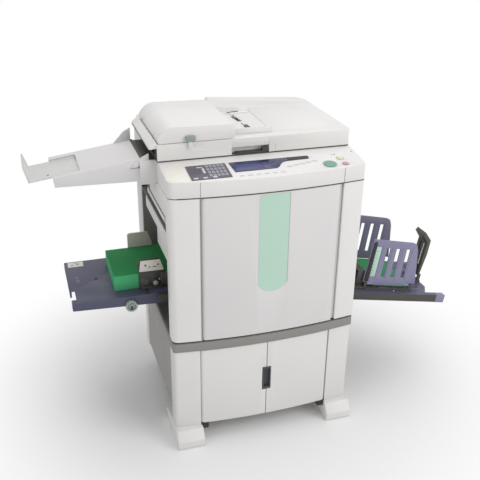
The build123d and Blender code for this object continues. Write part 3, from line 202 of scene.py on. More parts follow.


# %% [markdown]
# ## The machine's plastics, paints and films
#
# Each entry is one material in one colour: its tone, the tone it drifts to, and how rough and
# how deep its texture is. Some entries paint shade or light instead of a real colour, and their names say so.

# %% Plastics, paints and films
finishes = {
    "casing": moulded("moulded_ABS_warm_white", "E6E4E2", "DAD8D6"),
    "door": moulded("moulded_ABS_door_grey_white", "DCD9D9", "D0CDCE"),
    "slate": moulded("moulded_ABS_slate", "4D4E66", "424359", roughness=0.5, bump=0.2),
    "slate_light": moulded("moulded_ABS_slate_fence", "8584A0", "777592", roughness=0.46, bump=0.15),
    "slate_violet": moulded("moulded_ABS_slate_rear_fence", "76728A", "69657C", roughness=0.46,
                            bump=0.15),
    "tray_white": moulded("moulded_ABS_tray_grey_white", "DCDADA", "D0CECE"),
    "mint": moulded("moulded_PMMA_mint_strip", "B9D8C8", "AFCFBE", roughness=0.45, bump=0.03),
    "black": moulded("moulded_ABS_black", "232324", "19191A", roughness=0.5, bump=0.2),
    "dark_grey": moulded("moulded_ABS_dark_grey", "4A4B50", "3E3F44", roughness=0.5, bump=0.2),
    "pale_grey": moulded("moulded_ABS_pale_grey", "CECFCC", "C3C4C1", roughness=0.45),
    "recess_grey": moulded("painted_sheet_mid_grey", "8A8986", "7C7B78", roughness=0.5, grain_mm=2.0,
                           bump=0.2),
    "stand_grey": moulded("powder_coated_steel_grey", "9C9995", "908D89", roughness=0.5, grain_mm=1.8,
                          bump=0.25),
    "band_grey": moulded("powder_coated_steel_dark_band", "8B8985", "7F7D79", roughness=0.5, grain_mm=1.8,
                         bump=0.25),
    "charcoal": moulded("moulded_ABS_charcoal", "4E4D48", "42413D", roughness=0.5, bump=0.2),
    "mechanism": moulded("moulded_ABS_brown_black", "42403C", "383632", roughness=0.55, bump=0.25),
    # painted light: the rear feed fence's grey-brown is made far lighter, to stand for light the body's
    # shadow takes off it
    "fence_painted_light": moulded("grey_brown_ABS_painted_light", "C5C3B8", "B4B2A7", roughness=0.5, bump=0.2),
    # painted shade: a dark colour for the shade in gaps between mouldings and under the feeder's lip
    "shade_line": moulded("painted_gap_and_lip_shade", "3A3A38", "30302F", roughness=0.7, bump=0.1),
    "seam_grey": moulded("shadow_grey_joint", "8C8B88", "83827F", roughness=0.6, bump=0.1),
    "key_dark": moulded("printed_film_dark_violet", "56525F", "4D4956", roughness=0.35, bump=0.03),
    "key_grey": moulded("printed_film_mid_grey", "9A99A4", "908F9A", roughness=0.35, bump=0.03),
    "key_pale": moulded("printed_film_pale_grey", "C9C9CE", "BFBFC5", roughness=0.35, bump=0.03),
    "display": moulded("smoked_PMMA_display", "2A2E58", "20244A", roughness=0.12, bump=0.01),
    "joint_light": moulded("shadow_light_joint", "C0BEBC", "B6B4B2", roughness=0.55, bump=0.1),
    "screen": moulded("liquid_crystal_screen", "363C70", "2C3162", roughness=0.2, bump=0.01),
    "cream": moulded("printed_film_cream", "EBE7DE", "E2DED5", roughness=0.4, bump=0.03),
    "lever_green": moulded("moulded_ABS_grey_green", "97A19B", "8B958F", roughness=0.45, bump=0.1),
    "dial_green": moulded("moulded_ABS_pale_sage", "9FA9A2", "949E97", roughness=0.45, bump=0.1),
    "stand_white": moulded("powder_coated_steel_warm_white", "E0DEDC", "D5D3D1", roughness=0.48, grain_mm=1.8,
                           bump=0.22),
    "lining": moulded("painted_sheet_dark", "454340", "3A3836", roughness=0.45, grain_mm=2.0, bump=0.2),
    "rubber": moulded("vulcanised_rubber", "1E1E1F", "272728", roughness=0.75, bump=0.25),
    "green_button": moulded("moulded_PC_green_key", "6FA38C", "659A82", roughness=0.32, bump=0.03),
    "yellow_button": moulded("moulded_PC_yellow_key", "E3E0B6", "DCD8AA", roughness=0.32, bump=0.03),
    "red_button": moulded("moulded_PC_rose_key", "C59B9B", "B88E8F", roughness=0.32, bump=0.03),
}

# %% [markdown]
# ## Metal, glass and paper
#
# Drawn metal has streaks along the direction it was worked in. Paper is rough. On a stack of it the
# faces that stand upright are coloured lighter than the top, with level lines where some sheets sit a little
# proud.

# %% Metal
STREAK_SCALE = (30.0, 30.0, 1200.0)
STREAK_DEPTH = 0.0003       # metres


def metal(name, colour, roughness):
    """Rolled or drawn metal with faint streaks along its working direction."""
    material, tree, output, where = blank(name)
    stretch = add(tree, "ShaderNodeMapping", {"Scale": STREAK_SCALE}, {"Vector": where})
    streak = add(tree, "ShaderNodeTexNoise", {"Scale": 8.0, "Detail": 3.0},
                 {"Vector": stretch.outputs["Vector"]})
    gloss = add(tree, "ShaderNodeMapRange", {"To Min": roughness - 0.07, "To Max": roughness + 0.1},
                {"Value": streak.outputs["Fac"]})
    relief = add(tree, "ShaderNodeBump", {"Strength": 0.06, "Distance": STREAK_DEPTH},
                 {"Height": streak.outputs["Fac"]})
    shader = add(tree, "ShaderNodeBsdfPrincipled", {"Base Color": linear(colour), "Metallic": 1.0},
                 {"Roughness": gloss.outputs["Result"], "Normal": relief.outputs["Normal"]})
    tree.links.new(shader.outputs["BSDF"], output.inputs["Surface"])
    return material


finishes["steel"] = metal("zinc_plated_steel", "B4B5B8", 0.35)
finishes["aluminium"] = metal("drawn_aluminium", "C9CACD", 0.3)

# %% Glass and paper
GLASS_IOR = 1.52
PAPER_IOR = 1.45
SHEET_LINE_SCALE = 50.0     # gives a level line about every six millimetres
FIBRE_SCALE = 700.0
FIBRE_DEPTH = 0.0003        # metres


def clear_glass():
    """Float glass: clear, smooth, with a slight green-grey tint."""
    material, tree, output, where = blank("float_glass")
    faint = add(tree, "ShaderNodeTexNoise", {"Scale": 9.0}, {"Vector": where})
    gloss = add(tree, "ShaderNodeMapRange", {"To Min": 0.02, "To Max": 0.06}, {"Value": faint.outputs["Fac"]})
    shader = add(tree, "ShaderNodeBsdfPrincipled",
                 {"Base Color": linear("DDE8E4"), "Transmission Weight": 1.0, "IOR": GLASS_IOR},
                 {"Roughness": gloss.outputs["Result"]})
    tree.links.new(shader.outputs["BSDF"], output.inputs["Surface"])
    return material


def stacked_paper(name, colour, shade):
    """Uncoated coloured paper, lighter on the faces that stand upright, with level lines on them."""
    material, tree, output, where = blank(name)
    lines = add(tree, "ShaderNodeTexWave", {"Scale": SHEET_LINE_SCALE, "Distortion": 1.2, "Detail": 2.0},
                {"Vector": where}, bands_direction="Z")
    surface = add(tree, "ShaderNodeNewGeometry")
    facing = add(tree, "ShaderNodeSeparateXYZ", None, {"Vector": surface.outputs["Normal"]})
    level = add(tree, "ShaderNodeMath", None, {0: facing.outputs["Z"]}, operation="ABSOLUTE")
    edge = add(tree, "ShaderNodeMath", {0: 1.0}, {1: level.outputs["Value"]}, operation="SUBTRACT")
    faint = add(tree, "ShaderNodeMapRange", {"To Min": 0.68, "To Max": 0.9},
                {"Value": lines.outputs["Fac"]})
    # upright faces are mixed most of the way to the lighter colour, with faint level lines
    amount = add(tree, "ShaderNodeMath", None, {0: edge.outputs["Value"], 1: faint.outputs["Result"]},
                 operation="MULTIPLY")
    tint = blend_colours(tree, amount.outputs["Value"], colour, shade)
    fibre = add(tree, "ShaderNodeTexNoise", {"Scale": FIBRE_SCALE, "Detail": 4.0}, {"Vector": where})
    relief = add(tree, "ShaderNodeBump", {"Strength": 0.12, "Distance": FIBRE_DEPTH},
                 {"Height": fibre.outputs["Fac"]})
    shader = add(tree, "ShaderNodeBsdfPrincipled", {"Roughness": 0.85, "IOR": PAPER_IOR},
                 {"Base Color": tint, "Normal": relief.outputs["Normal"]})
    tree.links.new(shader.outputs["BSDF"], output.inputs["Surface"])
    return material


finishes["glass"] = clear_glass()
finishes["paper"] = stacked_paper("uncoated_green_paper", "2B8A4E", "55BE85")
finishes["print"] = stacked_paper("printed_green_paper", "3C9A60", "6FC092")
finishes["white_pad"] = moulded("foamed_white_pad", "EDEDEA", "E4E4E0", roughness=0.7, bump=0.2)
print("finishes", len(finishes))

# %% [markdown]
# ## Dressing a CAD solid
#
# A mould or a press never leaves a sharp edge. The CAD triangles are merged, flat faces are made
# whole again, and a bevel of one to three millimetres goes along every edge that turns by more
# than about thirty degrees. The bowed door strip gets no bevel, so it keeps its own triangles. The
# result replaces the CAD node on the same body.

# %% Pieces and their bodies
SMOOTH_LIMIT = math.radians(28.0)
pieces = []
body_of = {}
for body_name, members in frame["record"]["behaviour"]["bodies"].items():
    for member in members:
        body_of[member] = body_name


def finish_piece(mesh, name, body, finish):
    """Links a finished mesh as a piece of that body."""
    piece = bpy.data.objects.new(name, mesh)
    pieces.append(piece)
    bpy.context.scene.collection.objects.link(piece)
    piece.data.materials.clear()
    piece.data.materials.append(finishes[finish])
    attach(piece, body)
    return piece


def smooth_by_angle(mesh):
    """Smooth faces, with edges sharper than the angle kept sharp."""
    work = bmesh.new()
    work.from_mesh(mesh)
    for face in work.faces:
        face.smooth = True
    for edge in work.edges:
        edge.smooth = not (len(edge.link_faces) == 2 and edge.calc_face_angle(0.0) > SMOOTH_LIMIT)
    work.to_mesh(mesh)
    work.free()


def round_edges(work, edges, width):
    """A round bevel of two segments along these edges."""
    bmesh.ops.bevel(work, geom=edges, offset=width, segments=2, profile=0.5, affect="EDGES",
                    clamp_overlap=True, material=-1)


# %% Dress a node
MERGE_DISTANCE = 2e-6       # metres
FLAT_LIMIT = math.radians(0.4)
NODE_EDGE_LIMIT = math.radians(32)


def dress(node, finish, width):
    """A merged copy of a CAD node with its sharp edges rounded, standing for that node."""
    source = nodes[node]
    work = bmesh.new()
    work.from_mesh(source.data)
    work.transform(source.matrix_world)
    bmesh.ops.remove_doubles(work, verts=work.verts, dist=MERGE_DISTANCE)
    if width > 0:
        bmesh.ops.dissolve_limit(work, angle_limit=FLAT_LIMIT, verts=work.verts, edges=work.edges)
        sharp = [edge for edge in work.edges
                 if len(edge.link_faces) == 2 and edge.calc_face_angle(0.0) > NODE_EDGE_LIMIT]
        round_edges(work, sharp, width / 1000)
    mesh = bpy.data.meshes.new(node + "_dressed")
    work.to_mesh(mesh)
    work.free()
    smooth_by_angle(mesh)
    piece = finish_piece(mesh, node + "_dressed", body_of[node], finish)
    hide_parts(node)
    return piece


# %% [markdown]
# ## Which node is made of what
#
# Every CAD node gets its real material. The outer mouldings are then dressed, each with the edge
# radius, in millimetres, that its mould would leave.

# %% Paint every CAD node
paint = {
    "casing": ["left_cover", "right_cover", "rear_cover", "top_housing", "adf_base", "adf_cover",
               "disposal_box", "document_guide_front", "document_guide_rear", "adf_release_lever"],
    "tray_white": ["document_tray"],
    "door": ["front_door"],
    "mint": ["front_door_insert"],
    "stand_white": ["stand_posts", "stand_door_left", "stand_door_right", "front_feet"],
    "stand_grey": ["stand_panels"],
    "band_grey": ["stand_top_plate"],
    "dark_grey": ["stand_door_handle", "receiving_bracket"],
    "charcoal": ["receiving_slider_front", "receiving_slider_rear", "stopper_slider", "end_stopper"],
    "mechanism": ["feed_fence_front", "feed_elevator"],
    # the rear feed fence gets the grey-brown that is painted lighter
    "fence_painted_light": ["feed_fence_rear"],
    "dial_green": ["feed_dial"],
    "key_dark": ["panel_inserts"],
    "black": ["hinge_pins", "master_unit", "print_exit_unit", "ink_cartridge", "scan_carriage"],
    "steel": ["caster_fork_left", "caster_fork_right", "main_frame", "print_drum", "main_motor",
              "power_supply"],
    "aluminium": ["drum_core"],
    "rubber": ["caster_wheel_left", "caster_wheel_right", "press_roller", "pickup_roller",
               "adf_exit_roller"],
    "lining": ["base_pan"],
    "recess_grey": ["feed_side_wall"],
    "glass": ["scanner_glass"],
    "white_pad": ["platen_pad"],
    "pale_grey": ["document_tray_extension"],
    "slate": ["feed_tray", "receiving_tray"],
    "slate_light": ["receiving_fence_front"],
    "slate_violet": ["receiving_fence_rear"],
    "paper": ["paper_stack"],
    "green_button": ["start_button"],
    "red_button": ["stop_button"],
    "yellow_button": ["clear_button"],
}
for finish, members in paint.items():
    for member in members:
        nodes[member].data.materials.clear()
        nodes[member].data.materials.append(finishes[finish])
print("painted", sum(len(members) for members in paint.values()), "of", len(nodes))

# %% Dress the outer mouldings
edge_width = {
    "left_cover": 1.2, "right_cover": 1.2, "rear_cover": 1.2, "front_door": 2.0, "front_door_insert": 0.0,
    "stand_posts": 1.5, "stand_door_left": 2.0, "stand_door_right": 2.0, "stand_top_plate": 3.0,
    "front_feet": 3.0, "top_housing": 3.0, "adf_base": 3.0, "adf_cover": 3.0, "document_tray": 1.5,
    "document_tray_extension": 0.8, "disposal_box": 1.0, "feed_tray": 2.0, "feed_fence_front": 1.2,
    "feed_fence_rear": 1.2, "receiving_tray": 2.0, "receiving_fence_front": 1.0, "receiving_fence_rear": 1.0,
    "end_stopper": 1.5, "stand_door_handle": 1.5, "start_button": 0.8, "stop_button": 0.8,
    "clear_button": 0.8, "paper_stack": 0.4, "feed_dial": 0.6, "document_guide_front": 0.8,
    "document_guide_rear": 0.8,
}
dressed = {}
for node, width in edge_width.items():
    finish = next(key for key, members in paint.items() if node in members)
    dressed[node] = dress(node, finish, width)
print("dressed", len(dressed))

# %% [markdown]
# ## Small parts, each in its carrier's own directions
#
# The control panel leans back by eight degrees, and each tray has its own slope. A matrix per
# carrier lets every small part be written in level millimetres. Blocks, discs and outlines come
# from bmesh operators, are joined in one mesh and, where a bevel is asked for, get a small one.

# %% Places
PANEL_TILT = 8.334          # degrees


def place_at(x, y, z, about_x=0.0, about_y=0.0):
    """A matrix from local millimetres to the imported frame, tilted about X and then about Y."""
    turn = Matrix.Rotation(math.radians(about_y), 4, "Y") @ Matrix.Rotation(math.radians(about_x), 4, "X")
    return Matrix.Translation(at(x, y, z)) @ turn @ Matrix.Scale(0.001, 4)


MACHINE = place_at(0, 0, 0)
PANEL = place_at(0, -305, 979, about_x=PANEL_TILT)
RECEIVING = place_at(366, 0, 468, about_y=11)
DOCUMENT = place_at(-377, 0, 1006, about_y=-8)

# %% Shapes
AXES = {"X": Vector((1, 0, 0)), "Y": Vector((0, 1, 0)), "Z": Vector((0, 0, 1))}
DISC_SIDES = 40


def add_box(work, low, high):
    """A block between two corners."""
    verts = bmesh.ops.create_cube(work, size=1.0)["verts"]
    middle = [(a + b) / 2 for a, b in zip(low, high)]
    spans = [b - a for a, b in zip(low, high)]
    bmesh.ops.transform(work, matrix=Matrix.Translation(middle) @ Matrix.Diagonal((*spans, 1.0)), verts=verts)


def add_disc(work, centre, radius, length, axis="Z", top=None):
    """A round bar along an axis, centred on a place, straight or tapered to a top radius."""
    verts = bmesh.ops.create_cone(work, cap_ends=True, segments=DISC_SIDES, radius1=radius,
                                  radius2=radius if top is None else top, depth=length)["verts"]
    turn = AXES["Z"].rotation_difference(AXES[axis]).to_matrix().to_4x4()
    bmesh.ops.transform(work, matrix=Matrix.Translation(centre) @ turn, verts=verts)


def add_outline(work, points, start, length, axis="Z"):
    """A flat outline pushed along an axis."""
    index = "XYZ".index(axis)
    corners = [(*point[:index], start, *point[index:]) for point in points]
    face = work.faces.new([work.verts.new(corner) for corner in corners])
    pushed = bmesh.ops.extrude_face_region(work, geom=[face])["geom"]
    moved = [item for item in pushed if isinstance(item, bmesh.types.BMVert)]
    bmesh.ops.translate(work, vec=length * AXES[axis], verts=moved)


SHAPES = {"box": add_box, "disc": add_disc, "outline": add_outline}

# %% Small pieces
DETAIL_EDGE_LIMIT = math.radians(50)


def detail(name, body, finish, shapes, bevel=0.4, place=MACHINE):
    """A small piece on a body, made of blocks, discs and outlines."""
    work = bmesh.new()
    for kind, *values in shapes:
        SHAPES[kind](work, *values)
    bmesh.ops.recalc_face_normals(work, faces=work.faces)
    if bevel > 0:
        sharp = [edge for edge in work.edges if edge.calc_face_angle(0.0) > DETAIL_EDGE_LIMIT]
        round_edges(work, sharp, bevel)
    work.transform(place)
    mesh = bpy.data.meshes.new(name)
    work.to_mesh(mesh)
    work.free()
    smooth_by_angle(mesh)
    return finish_piece(mesh, name, body, finish)


def bead(name, body, finish, points, radius, place=MACHINE, closed=False):
    """A round bead along a line of places, for joints and rims."""
    curve = bpy.data.curves.new(name, "CURVE")
    curve.dimensions = "3D"
    curve.bevel_depth = radius / 1000
    curve.bevel_resolution = 2
    curve.use_fill_caps = not closed
    line = curve.splines.new("POLY")
    line.points.add(len(points) - 1)
    line.use_cyclic_u = closed
    for point, spot in zip(line.points, points):
        point.co = (*(place @ Vector(spot)), 1.0)
    carrier = bpy.data.objects.new(name + "_path", curve)
    mesh = bpy.data.meshes.new_from_object(carrier)
    bpy.data.objects.remove(carrier)
    for face in mesh.polygons:
        face.use_smooth = True
    return finish_piece(mesh, name, body, finish)


def repaint(piece, finish, chosen):
    """Gives a second material to the faces whose centre, in machine millimetres, is chosen."""
    piece.data.materials.append(finishes[finish])
    number = len(piece.data.materials) - 1
    origin = at(0, 0, 0)
    for face in piece.data.polygons:
        x, y, z = (face.center - origin) * 1000
        if chosen(x, y, z):
            face.material_index = number


print("shapes", sorted(SHAPES))

# %% [markdown]
# ## Joints between mouldings
#
# The photograph shows dark lines where the panel housing meets the body and where the feeder rests
# on the housing. On the machine these are shadow gaps. A thin bead in a dark colour paints their
# shade and follows the bow of the front and its right corner.

# %% Joint beads
BOW_RADIUS, BOW_FRONT, HALF, CORNER = 2200.0, -305.0, 326.0, 10.0
CORNER_STEPS = 8
FEEDER_CORNER = (312, -132)     # centre of the feeder's front right corner in plan
FEEDER_CORNER_RADIUS = 15
FEEDER_JOINT_Z = 1004.0


def bow_y(x, inset=0.0):
    """Y of the machine's bowed front at x."""
    return BOW_FRONT + BOW_RADIUS - math.sqrt((BOW_RADIUS - inset) ** 2 - x * x)


def front_line(z, inset, back_y):
    """Places along the bowed front in plan and round its right corner."""
    corner_x = HALF - CORNER
    corner_y = BOW_FRONT + BOW_RADIUS - math.sqrt((BOW_RADIUS - CORNER) ** 2 - corner_x ** 2)
    lean = math.atan2(corner_x, BOW_FRONT + BOW_RADIUS - corner_y)
    right_side = [(HALF - inset, back_y, z)]
    for step in range(CORNER_STEPS + 1):
        angle = -step / CORNER_STEPS * (math.pi / 2 - lean)
        right_side.append((corner_x + (CORNER - inset) * math.cos(angle),
                           corner_y + (CORNER - inset) * math.sin(angle), z))
    front = [(x, bow_y(x, inset), z) for x in range(300, -301, -20)]
    return right_side + front


bead("housing_joint", "machine", "shade_line", front_line(928.5, 1.4, -240), 2.3)
corner_angles = [-math.pi / 2 + step * math.pi / 12 for step in range(7)]
feeder_corner = [(FEEDER_CORNER[0] + FEEDER_CORNER_RADIUS * math.cos(angle),
                  FEEDER_CORNER[1] + FEEDER_CORNER_RADIUS * math.sin(angle), FEEDER_JOINT_Z)
                 for angle in corner_angles]
bead("feeder_joint", "adf", "shade_line",
     [(-326, -147, FEEDER_JOINT_Z)] + feeder_corner + [(327, 230, FEEDER_JOINT_Z)], 1.9)
bead("feeder_joint_left", "adf", "shade_line",
     [(-327, -146, FEEDER_JOINT_Z), (-327, 200, FEEDER_JOINT_Z)], 1.9)
# painted shade: a grey strip along the right edge of the mint insert
detail("insert_edge_shade", "front_door", "joint_light", [
    ("box", (59.4, bow_y(60) - 0.5, 604), (61.8, bow_y(60) + 2, 921)),
], 0.2)
detail("body_joints", "machine", "seam_grey", [
    ("box", (-230.8, bow_y(-229) - 0.5, 420), (-227.2, bow_y(-229) + 3, 925.5)),
    ("box", (-228.6, bow_y(-228) - 0.5, 931), (-227.2, bow_y(-228) + 3, 979)),
    ("box", (247.5, bow_y(249) - 0.5, 931), (249.5, bow_y(249) + 3, 979)),
], 0.2)
print("pieces after the joints", len(pieces))

# %% [markdown]
# ## Control panel
#
# The key field is printed film over membrane switches, and the display is smoked acrylic. Both are
# thin plates on the sloped face. The film carries no words here: keys are blank caps.

# %% Panel helpers


def up_panel(y):
    """A machine Y as a distance along the sloped panel."""
    return (y - BOW_FRONT) / math.cos(math.radians(PANEL_TILT))


def key_rows(x_from, x_to, y_from, y_to, columns, rows, size, height, low=2.0):
    """Blank caps in a grid on the panel."""
    caps = []
    for column in range(columns):
        for row in range(rows):
            x = x_from + (x_to - x_from) * (column / max(columns - 1, 1))
            v = up_panel(y_from + (y_to - y_from) * (row / max(rows - 1, 1)))
            caps.append(("box", (x - size[0] / 2, v - size[1] / 2, low),
                         (x + size[0] / 2, v + size[1] / 2, height)))
    return caps


# %% Key film and display
key_block = detail("key_field", "machine", "key_dark",
                   [("box", (-251, up_panel(-282), -0.3), (-123, up_panel(-192), 2.1))], 0.6, PANEL)
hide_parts("panel_inserts")
detail("key_grid", "machine", "key_grey",
       key_rows(-186, -136, -263, -205, 5, 4, (9.5, 14.5), 2.9), 0.3, PANEL)
detail("key_marks", "machine", "key_pale",
       key_rows(-236, -176, -274, -274, 3, 1, (14, 8), 2.9)
       + [("box", (-205, up_panel(-246), 2.0), (-197, up_panel(-214), 2.8)),
          ("box", (-219, up_panel(-210), 2.0), (-199, up_panel(-205), 2.8))], 0.3, PANEL)
display_outline = [(-111, -193), (155, -193.5), (158, -200), (154, -212), (74, -215), (60, -221),
                   (50, -233), (42, -246), (30, -254), (-106, -255)]
display = detail("display_window", "machine", "display",
                 [("outline", [(x, up_panel(y)) for x, y in display_outline], -0.3, 2.4)], 0.5, PANEL)
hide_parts("panel_inserts")
detail("display_screen", "machine", "screen",
       [("box", (-100, up_panel(-247), 1.9), (-6, up_panel(-201), 2.4))], 0.2, PANEL)
detail("display_end", "machine", "black",
       [("box", (84, up_panel(-211.5), 1.9), (153, up_panel(-195), 2.6))], 0.2, PANEL)
detail("display_keys", "machine", "key_pale",
       key_rows(-92, 42, -281, -281, 6, 1, (15, 6), 0.9, -0.3)
       + [("box", (x - 9, up_panel(y) - 4, -0.3), (x + 9, up_panel(y) + 4, 0.9))
          for x, y in ((75, -251), (98, -246), (121, -241), (144, -236), (167, -231))], 0.3, PANEL)

# %% Label, lamps and button rims
label_outline = [(-321, -182), (-257, -182), (-257, -284), (-308, -277), (-321, -262)]
detail("blank_label", "machine", "cream",
       [("outline", [(x, up_panel(y)) for x, y in label_outline], -0.3, 0.9)], 0.3, PANEL)
detail("panel_lamps", "machine", "seam_grey",
       [("disc", (248, up_panel(-200), 0), 3.2, 1.6), ("disc", (238, up_panel(-203), 0), 2.2, 1.6),
        ("disc", (314, up_panel(-190), 0), 2.6, 1.6), ("disc", (165, up_panel(-203), 0), 1.8, 1.4)],
       0.3, PANEL)
ring_angles = [step * math.pi / 24 for step in range(48)]
for name, x, y, radius in (("start", 208, -261, 23.5), ("stop", 259, -268, 12), ("clear", 257, -229, 12)):
    ring = [(x + radius * math.cos(angle), up_panel(y) + radius * math.sin(angle), 0.2)
            for angle in ring_angles]
    bead(name + "_ring", "machine", "joint_light", ring, 0.9, PANEL, closed=True)
print("pieces after the panel", len(pieces))

# %% [markdown]
# ## Document feeder
#
# The feeder's front has a shallow finger scoop with a dark slot, a small grey-green release tab and,
# on its left, a throat where rubber rollers push the documents out under a round lip. The inside of
# the throat and the band under the lip are painted dark as shade.

# %% Feeder front and throat
detail("feeder_scoop_slot", "adf", "mechanism", [
    ("box", (-70, -146.6, 1006.3), (37, -127, 1011)), ("box", (18, -146.6, 1010), (37, -136, 1023)),
], 0.3)
detail("feeder_scoop_slope", "adf", "casing",
       [("outline", [(-147.7, 1052.2), (-147.7, 1046), (-144, 1029), (-140, 1029), (-140, 1052.2)],
         -86.2, 127.4, "X")], 0.6)
detail("feeder_front_joint", "adf", "joint_light", [("box", (61, -148.5, 1009), (62.6, -146, 1033))], 0.2)
# painted shade: dark plates line the throat's back, roof and floor and frame its mouth on the feeder's left
# face
detail("feeder_throat_shade", "adf", "mechanism", [
    ("box", (-294.6, -111.8, 1012.2), (-294.05, 144.8, 1044.8)),
    ("box", (-327.5, -111.8, 1044.2), (-294.2, 144.8, 1044.9)),
    ("box", (-327.5, -111.8, 1012.05), (-294.2, 144.8, 1012.6)),
    ("box", (-328.7, -140, 1006.4), (-327.9, 198, 1011.9)),
    ("box", (-328.7, -140, 1011.8), (-327.9, -112.2, 1044)),
    ("box", (-328.7, 145.2, 1011.8), (-327.9, 198, 1044)),
], 0.0)
# painted shade in the gap at the feeder's front left corner
detail("feeder_corner_gap", "adf", "shade_line",
       [("box", (-331.5, -146.5, 1008), (-328.05, -144.3, 1046))], 0.3)

# %% Feeder top
# painted shade: black plates on the slots' floor and right wall, and flat black marks beside the slots, make
# the slots read dark
detail("guide_slot_shade", "adf", "black", [
    ("box", (-6.9, 40, 1047.1), (0.9, 100, 1047.5)), ("box", (-6.9, -50, 1047.1), (0.9, -5, 1047.5)),
    ("box", (0.86, 40, 1047.4), (0.98, 100, 1058.3)), ("box", (0.86, -50, 1047.4), (0.98, -5, 1058.3)),
    ("outline", [(-17, 102), (-7.7, 102), (-7.7, 38), (-8.6, 38)], 1058.8, 0.28),
    ("outline", [(1.7, 90), (7, 38), (1.7, 38)], 1058.8, 0.28),
    ("outline", [(1.7, -3), (10, -3), (14, -50), (1.7, -50)], 1058.8, 0.28),
], 0.0)
# painted shade: a flat black mark on the rear guide
detail("rear_guide_shade", "document_guide_rear", "black",
       [("outline", [(-18, 139), (28, 147), (28, 156.5), (-18, 149)], 1061.8, 0.5)], 0.1)
detail("document_bed", "adf", "casing", [
    ("outline", [(68, -98), (262, -98), (272, -80), (272, 176), (262, 190), (68, 190)], 1058.7, 1.9),
], 1.2)
tab = dress("adf_release_lever", "casing", 0.8)
repaint(tab, "lever_green", lambda x, y, z: z > 1063.5)
# painted shade: the feeder base's faces under the lip, left of the throat, turn dark
repaint(dressed["adf_base"], "mechanism", lambda x, y, z: x < -331 and z < 1047.5)
# painted shade: a dark bead under the feeder's lip
bead("feeder_lip_edge", "adf", "shade_line", [(-353.2, -140, 1045), (-353.2, 154, 1045)], 1.3)
print("pieces after the feeder", len(pieces))

# %% [markdown]
# ## Document tray
#
# The tray is one thin moulding. Its pull-out end lies in a recess whose edge shows as a fine dark
# line, and the gussets beside the root are in the feeder's shade.

# %% Document tray
detail("document_tray_lines", "machine", "seam_grey", [
    ("box", (-271, 66.2, -0.4), (-186, 68.0, 0.5)), ("box", (-187.6, 26, -0.4), (-186.0, 66.5, 0.5)),
], 0.2, DOCUMENT)
detail("extension_dot", "document_tray_extension", "black",
       [("disc", (-284, -59, -3.9), 3.2, 1.2)], 0.2, DOCUMENT)
detail("tray_root_shade", "machine", "pale_grey", [
    ("outline", [(-431, 997), (-396, 1035), (-371.6, 1049), (-371.6, 997)], 93.2, 0.7, "Y"),
], 0.1)
detail("tray_root_crease", "machine", "seam_grey", [
    ("outline", [(-408, 979.5), (-374, 979.5), (-374, 982.2), (-408, 981.4)], -118.7, 0.6, "Y"),
    ("outline", [(-386, 981), (-375, 981), (-375, 996)], -118.7, 0.6, "Y"),
], 0.0)
detail("tray_root_well", "machine", "mechanism",
       [("box", (-364.5, -117, 1003.8), (-327, 97, 1004.6))], 0.0)
detail("tray_root_floor", "machine", "mechanism",
       [("box", (2.5, -111.5, -0.3), (12.2, 97.5, 0.5))], 0.0, DOCUMENT)
print("pieces after the document tray", len(pieces))

# %% [markdown]
# ## Feed side
#
# The feed tray carries a pale guide label, the height knob and two fences. The front fence has its
# lock mechanism in dark plastic with a pale strip above.

# %% Feed tray label and arrows
TRAY_TOP = 545.0            # the feed tray's upper face
detail("tray_label", "feed_tray", "cream",
       [("outline", [(-617, 112), (-563, 112), (-561, 149), (-616, 150)], TRAY_TOP - 0.2, 0.6)], 0.1)
detail("tray_label_marks", "feed_tray", "mechanism", [
    ("outline", [(-606, 122), (-598, 122), (-602, 132)], TRAY_TOP + 0.3, 0.3),
    ("outline", [(-588, 126), (-576, 130), (-580, 138)], TRAY_TOP + 0.3, 0.3),
    ("box", (-595, 137, TRAY_TOP + 0.3), (-584, 140, TRAY_TOP + 0.6)),
], 0.0)
detail("tray_arrows", "feed_tray", "slate_light", [
    ("outline", [(-600, 24), (-588, 24), (-594, 34)], TRAY_TOP - 0.2, 0.36),
    ("outline", [(-599, 4), (-587, 4), (-593, 14)], TRAY_TOP - 0.2, 0.36),
    ("box", (-600, -8, TRAY_TOP - 0.2), (-586, -4, TRAY_TOP + 0.16)),
], 0.0)
detail("tray_hole_cap", "feed_tray", "black", [("disc", (-532, 0, TRAY_TOP - 2.4), 5.9, 2.0)], 0.2)

# %% Front feed fence
detail("front_fence_strip", "feed_fence_front", "cream",
       [("outline", [(-398, 610), (-313, 608), (-326, 649), (-392, 650)], -113.2, 1.4, "Y")], 0.3)
detail("front_fence_marks", "feed_fence_front", "mechanism", [
    ("disc", (-376, -113.4, 632), 3.4, 0.7, "Y"), ("disc", (-362, -113.4, 625), 2.4, 0.7, "Y"),
    ("box", (-352, -113.6, 623), (-338, -113.0, 626)), ("disc", (-333, -113.4, 631), 3.0, 0.7, "Y"),
], 0.0)
detail("front_fence_knob", "feed_fence_front", "dial_green", [
    ("disc", (-346, -126.4, 569), 8.6, 2.4, "Y", 7.6), ("box", (-348, -128.7, 563), (-344, -126.8, 575)),
], 0.6)
detail("front_fence_dot", "feed_fence_front", "key_pale", [("disc", (-330, -112.6, 574), 3.0, 1.4, "Y")], 0.2)
detail("front_fence_lock", "feed_fence_front", "charcoal", [
    ("box", (-394, -114.5, 552), (-362, -111.9, 586)), ("box", (-384, -118.5, 558), (-366, -114.3, 580)),
    ("box", (-324, -116.0, 549), (-314.5, -111.9, 600)), ("box", (-316, -114.6, 549), (-262, -112.1, 597)),
], 0.6)

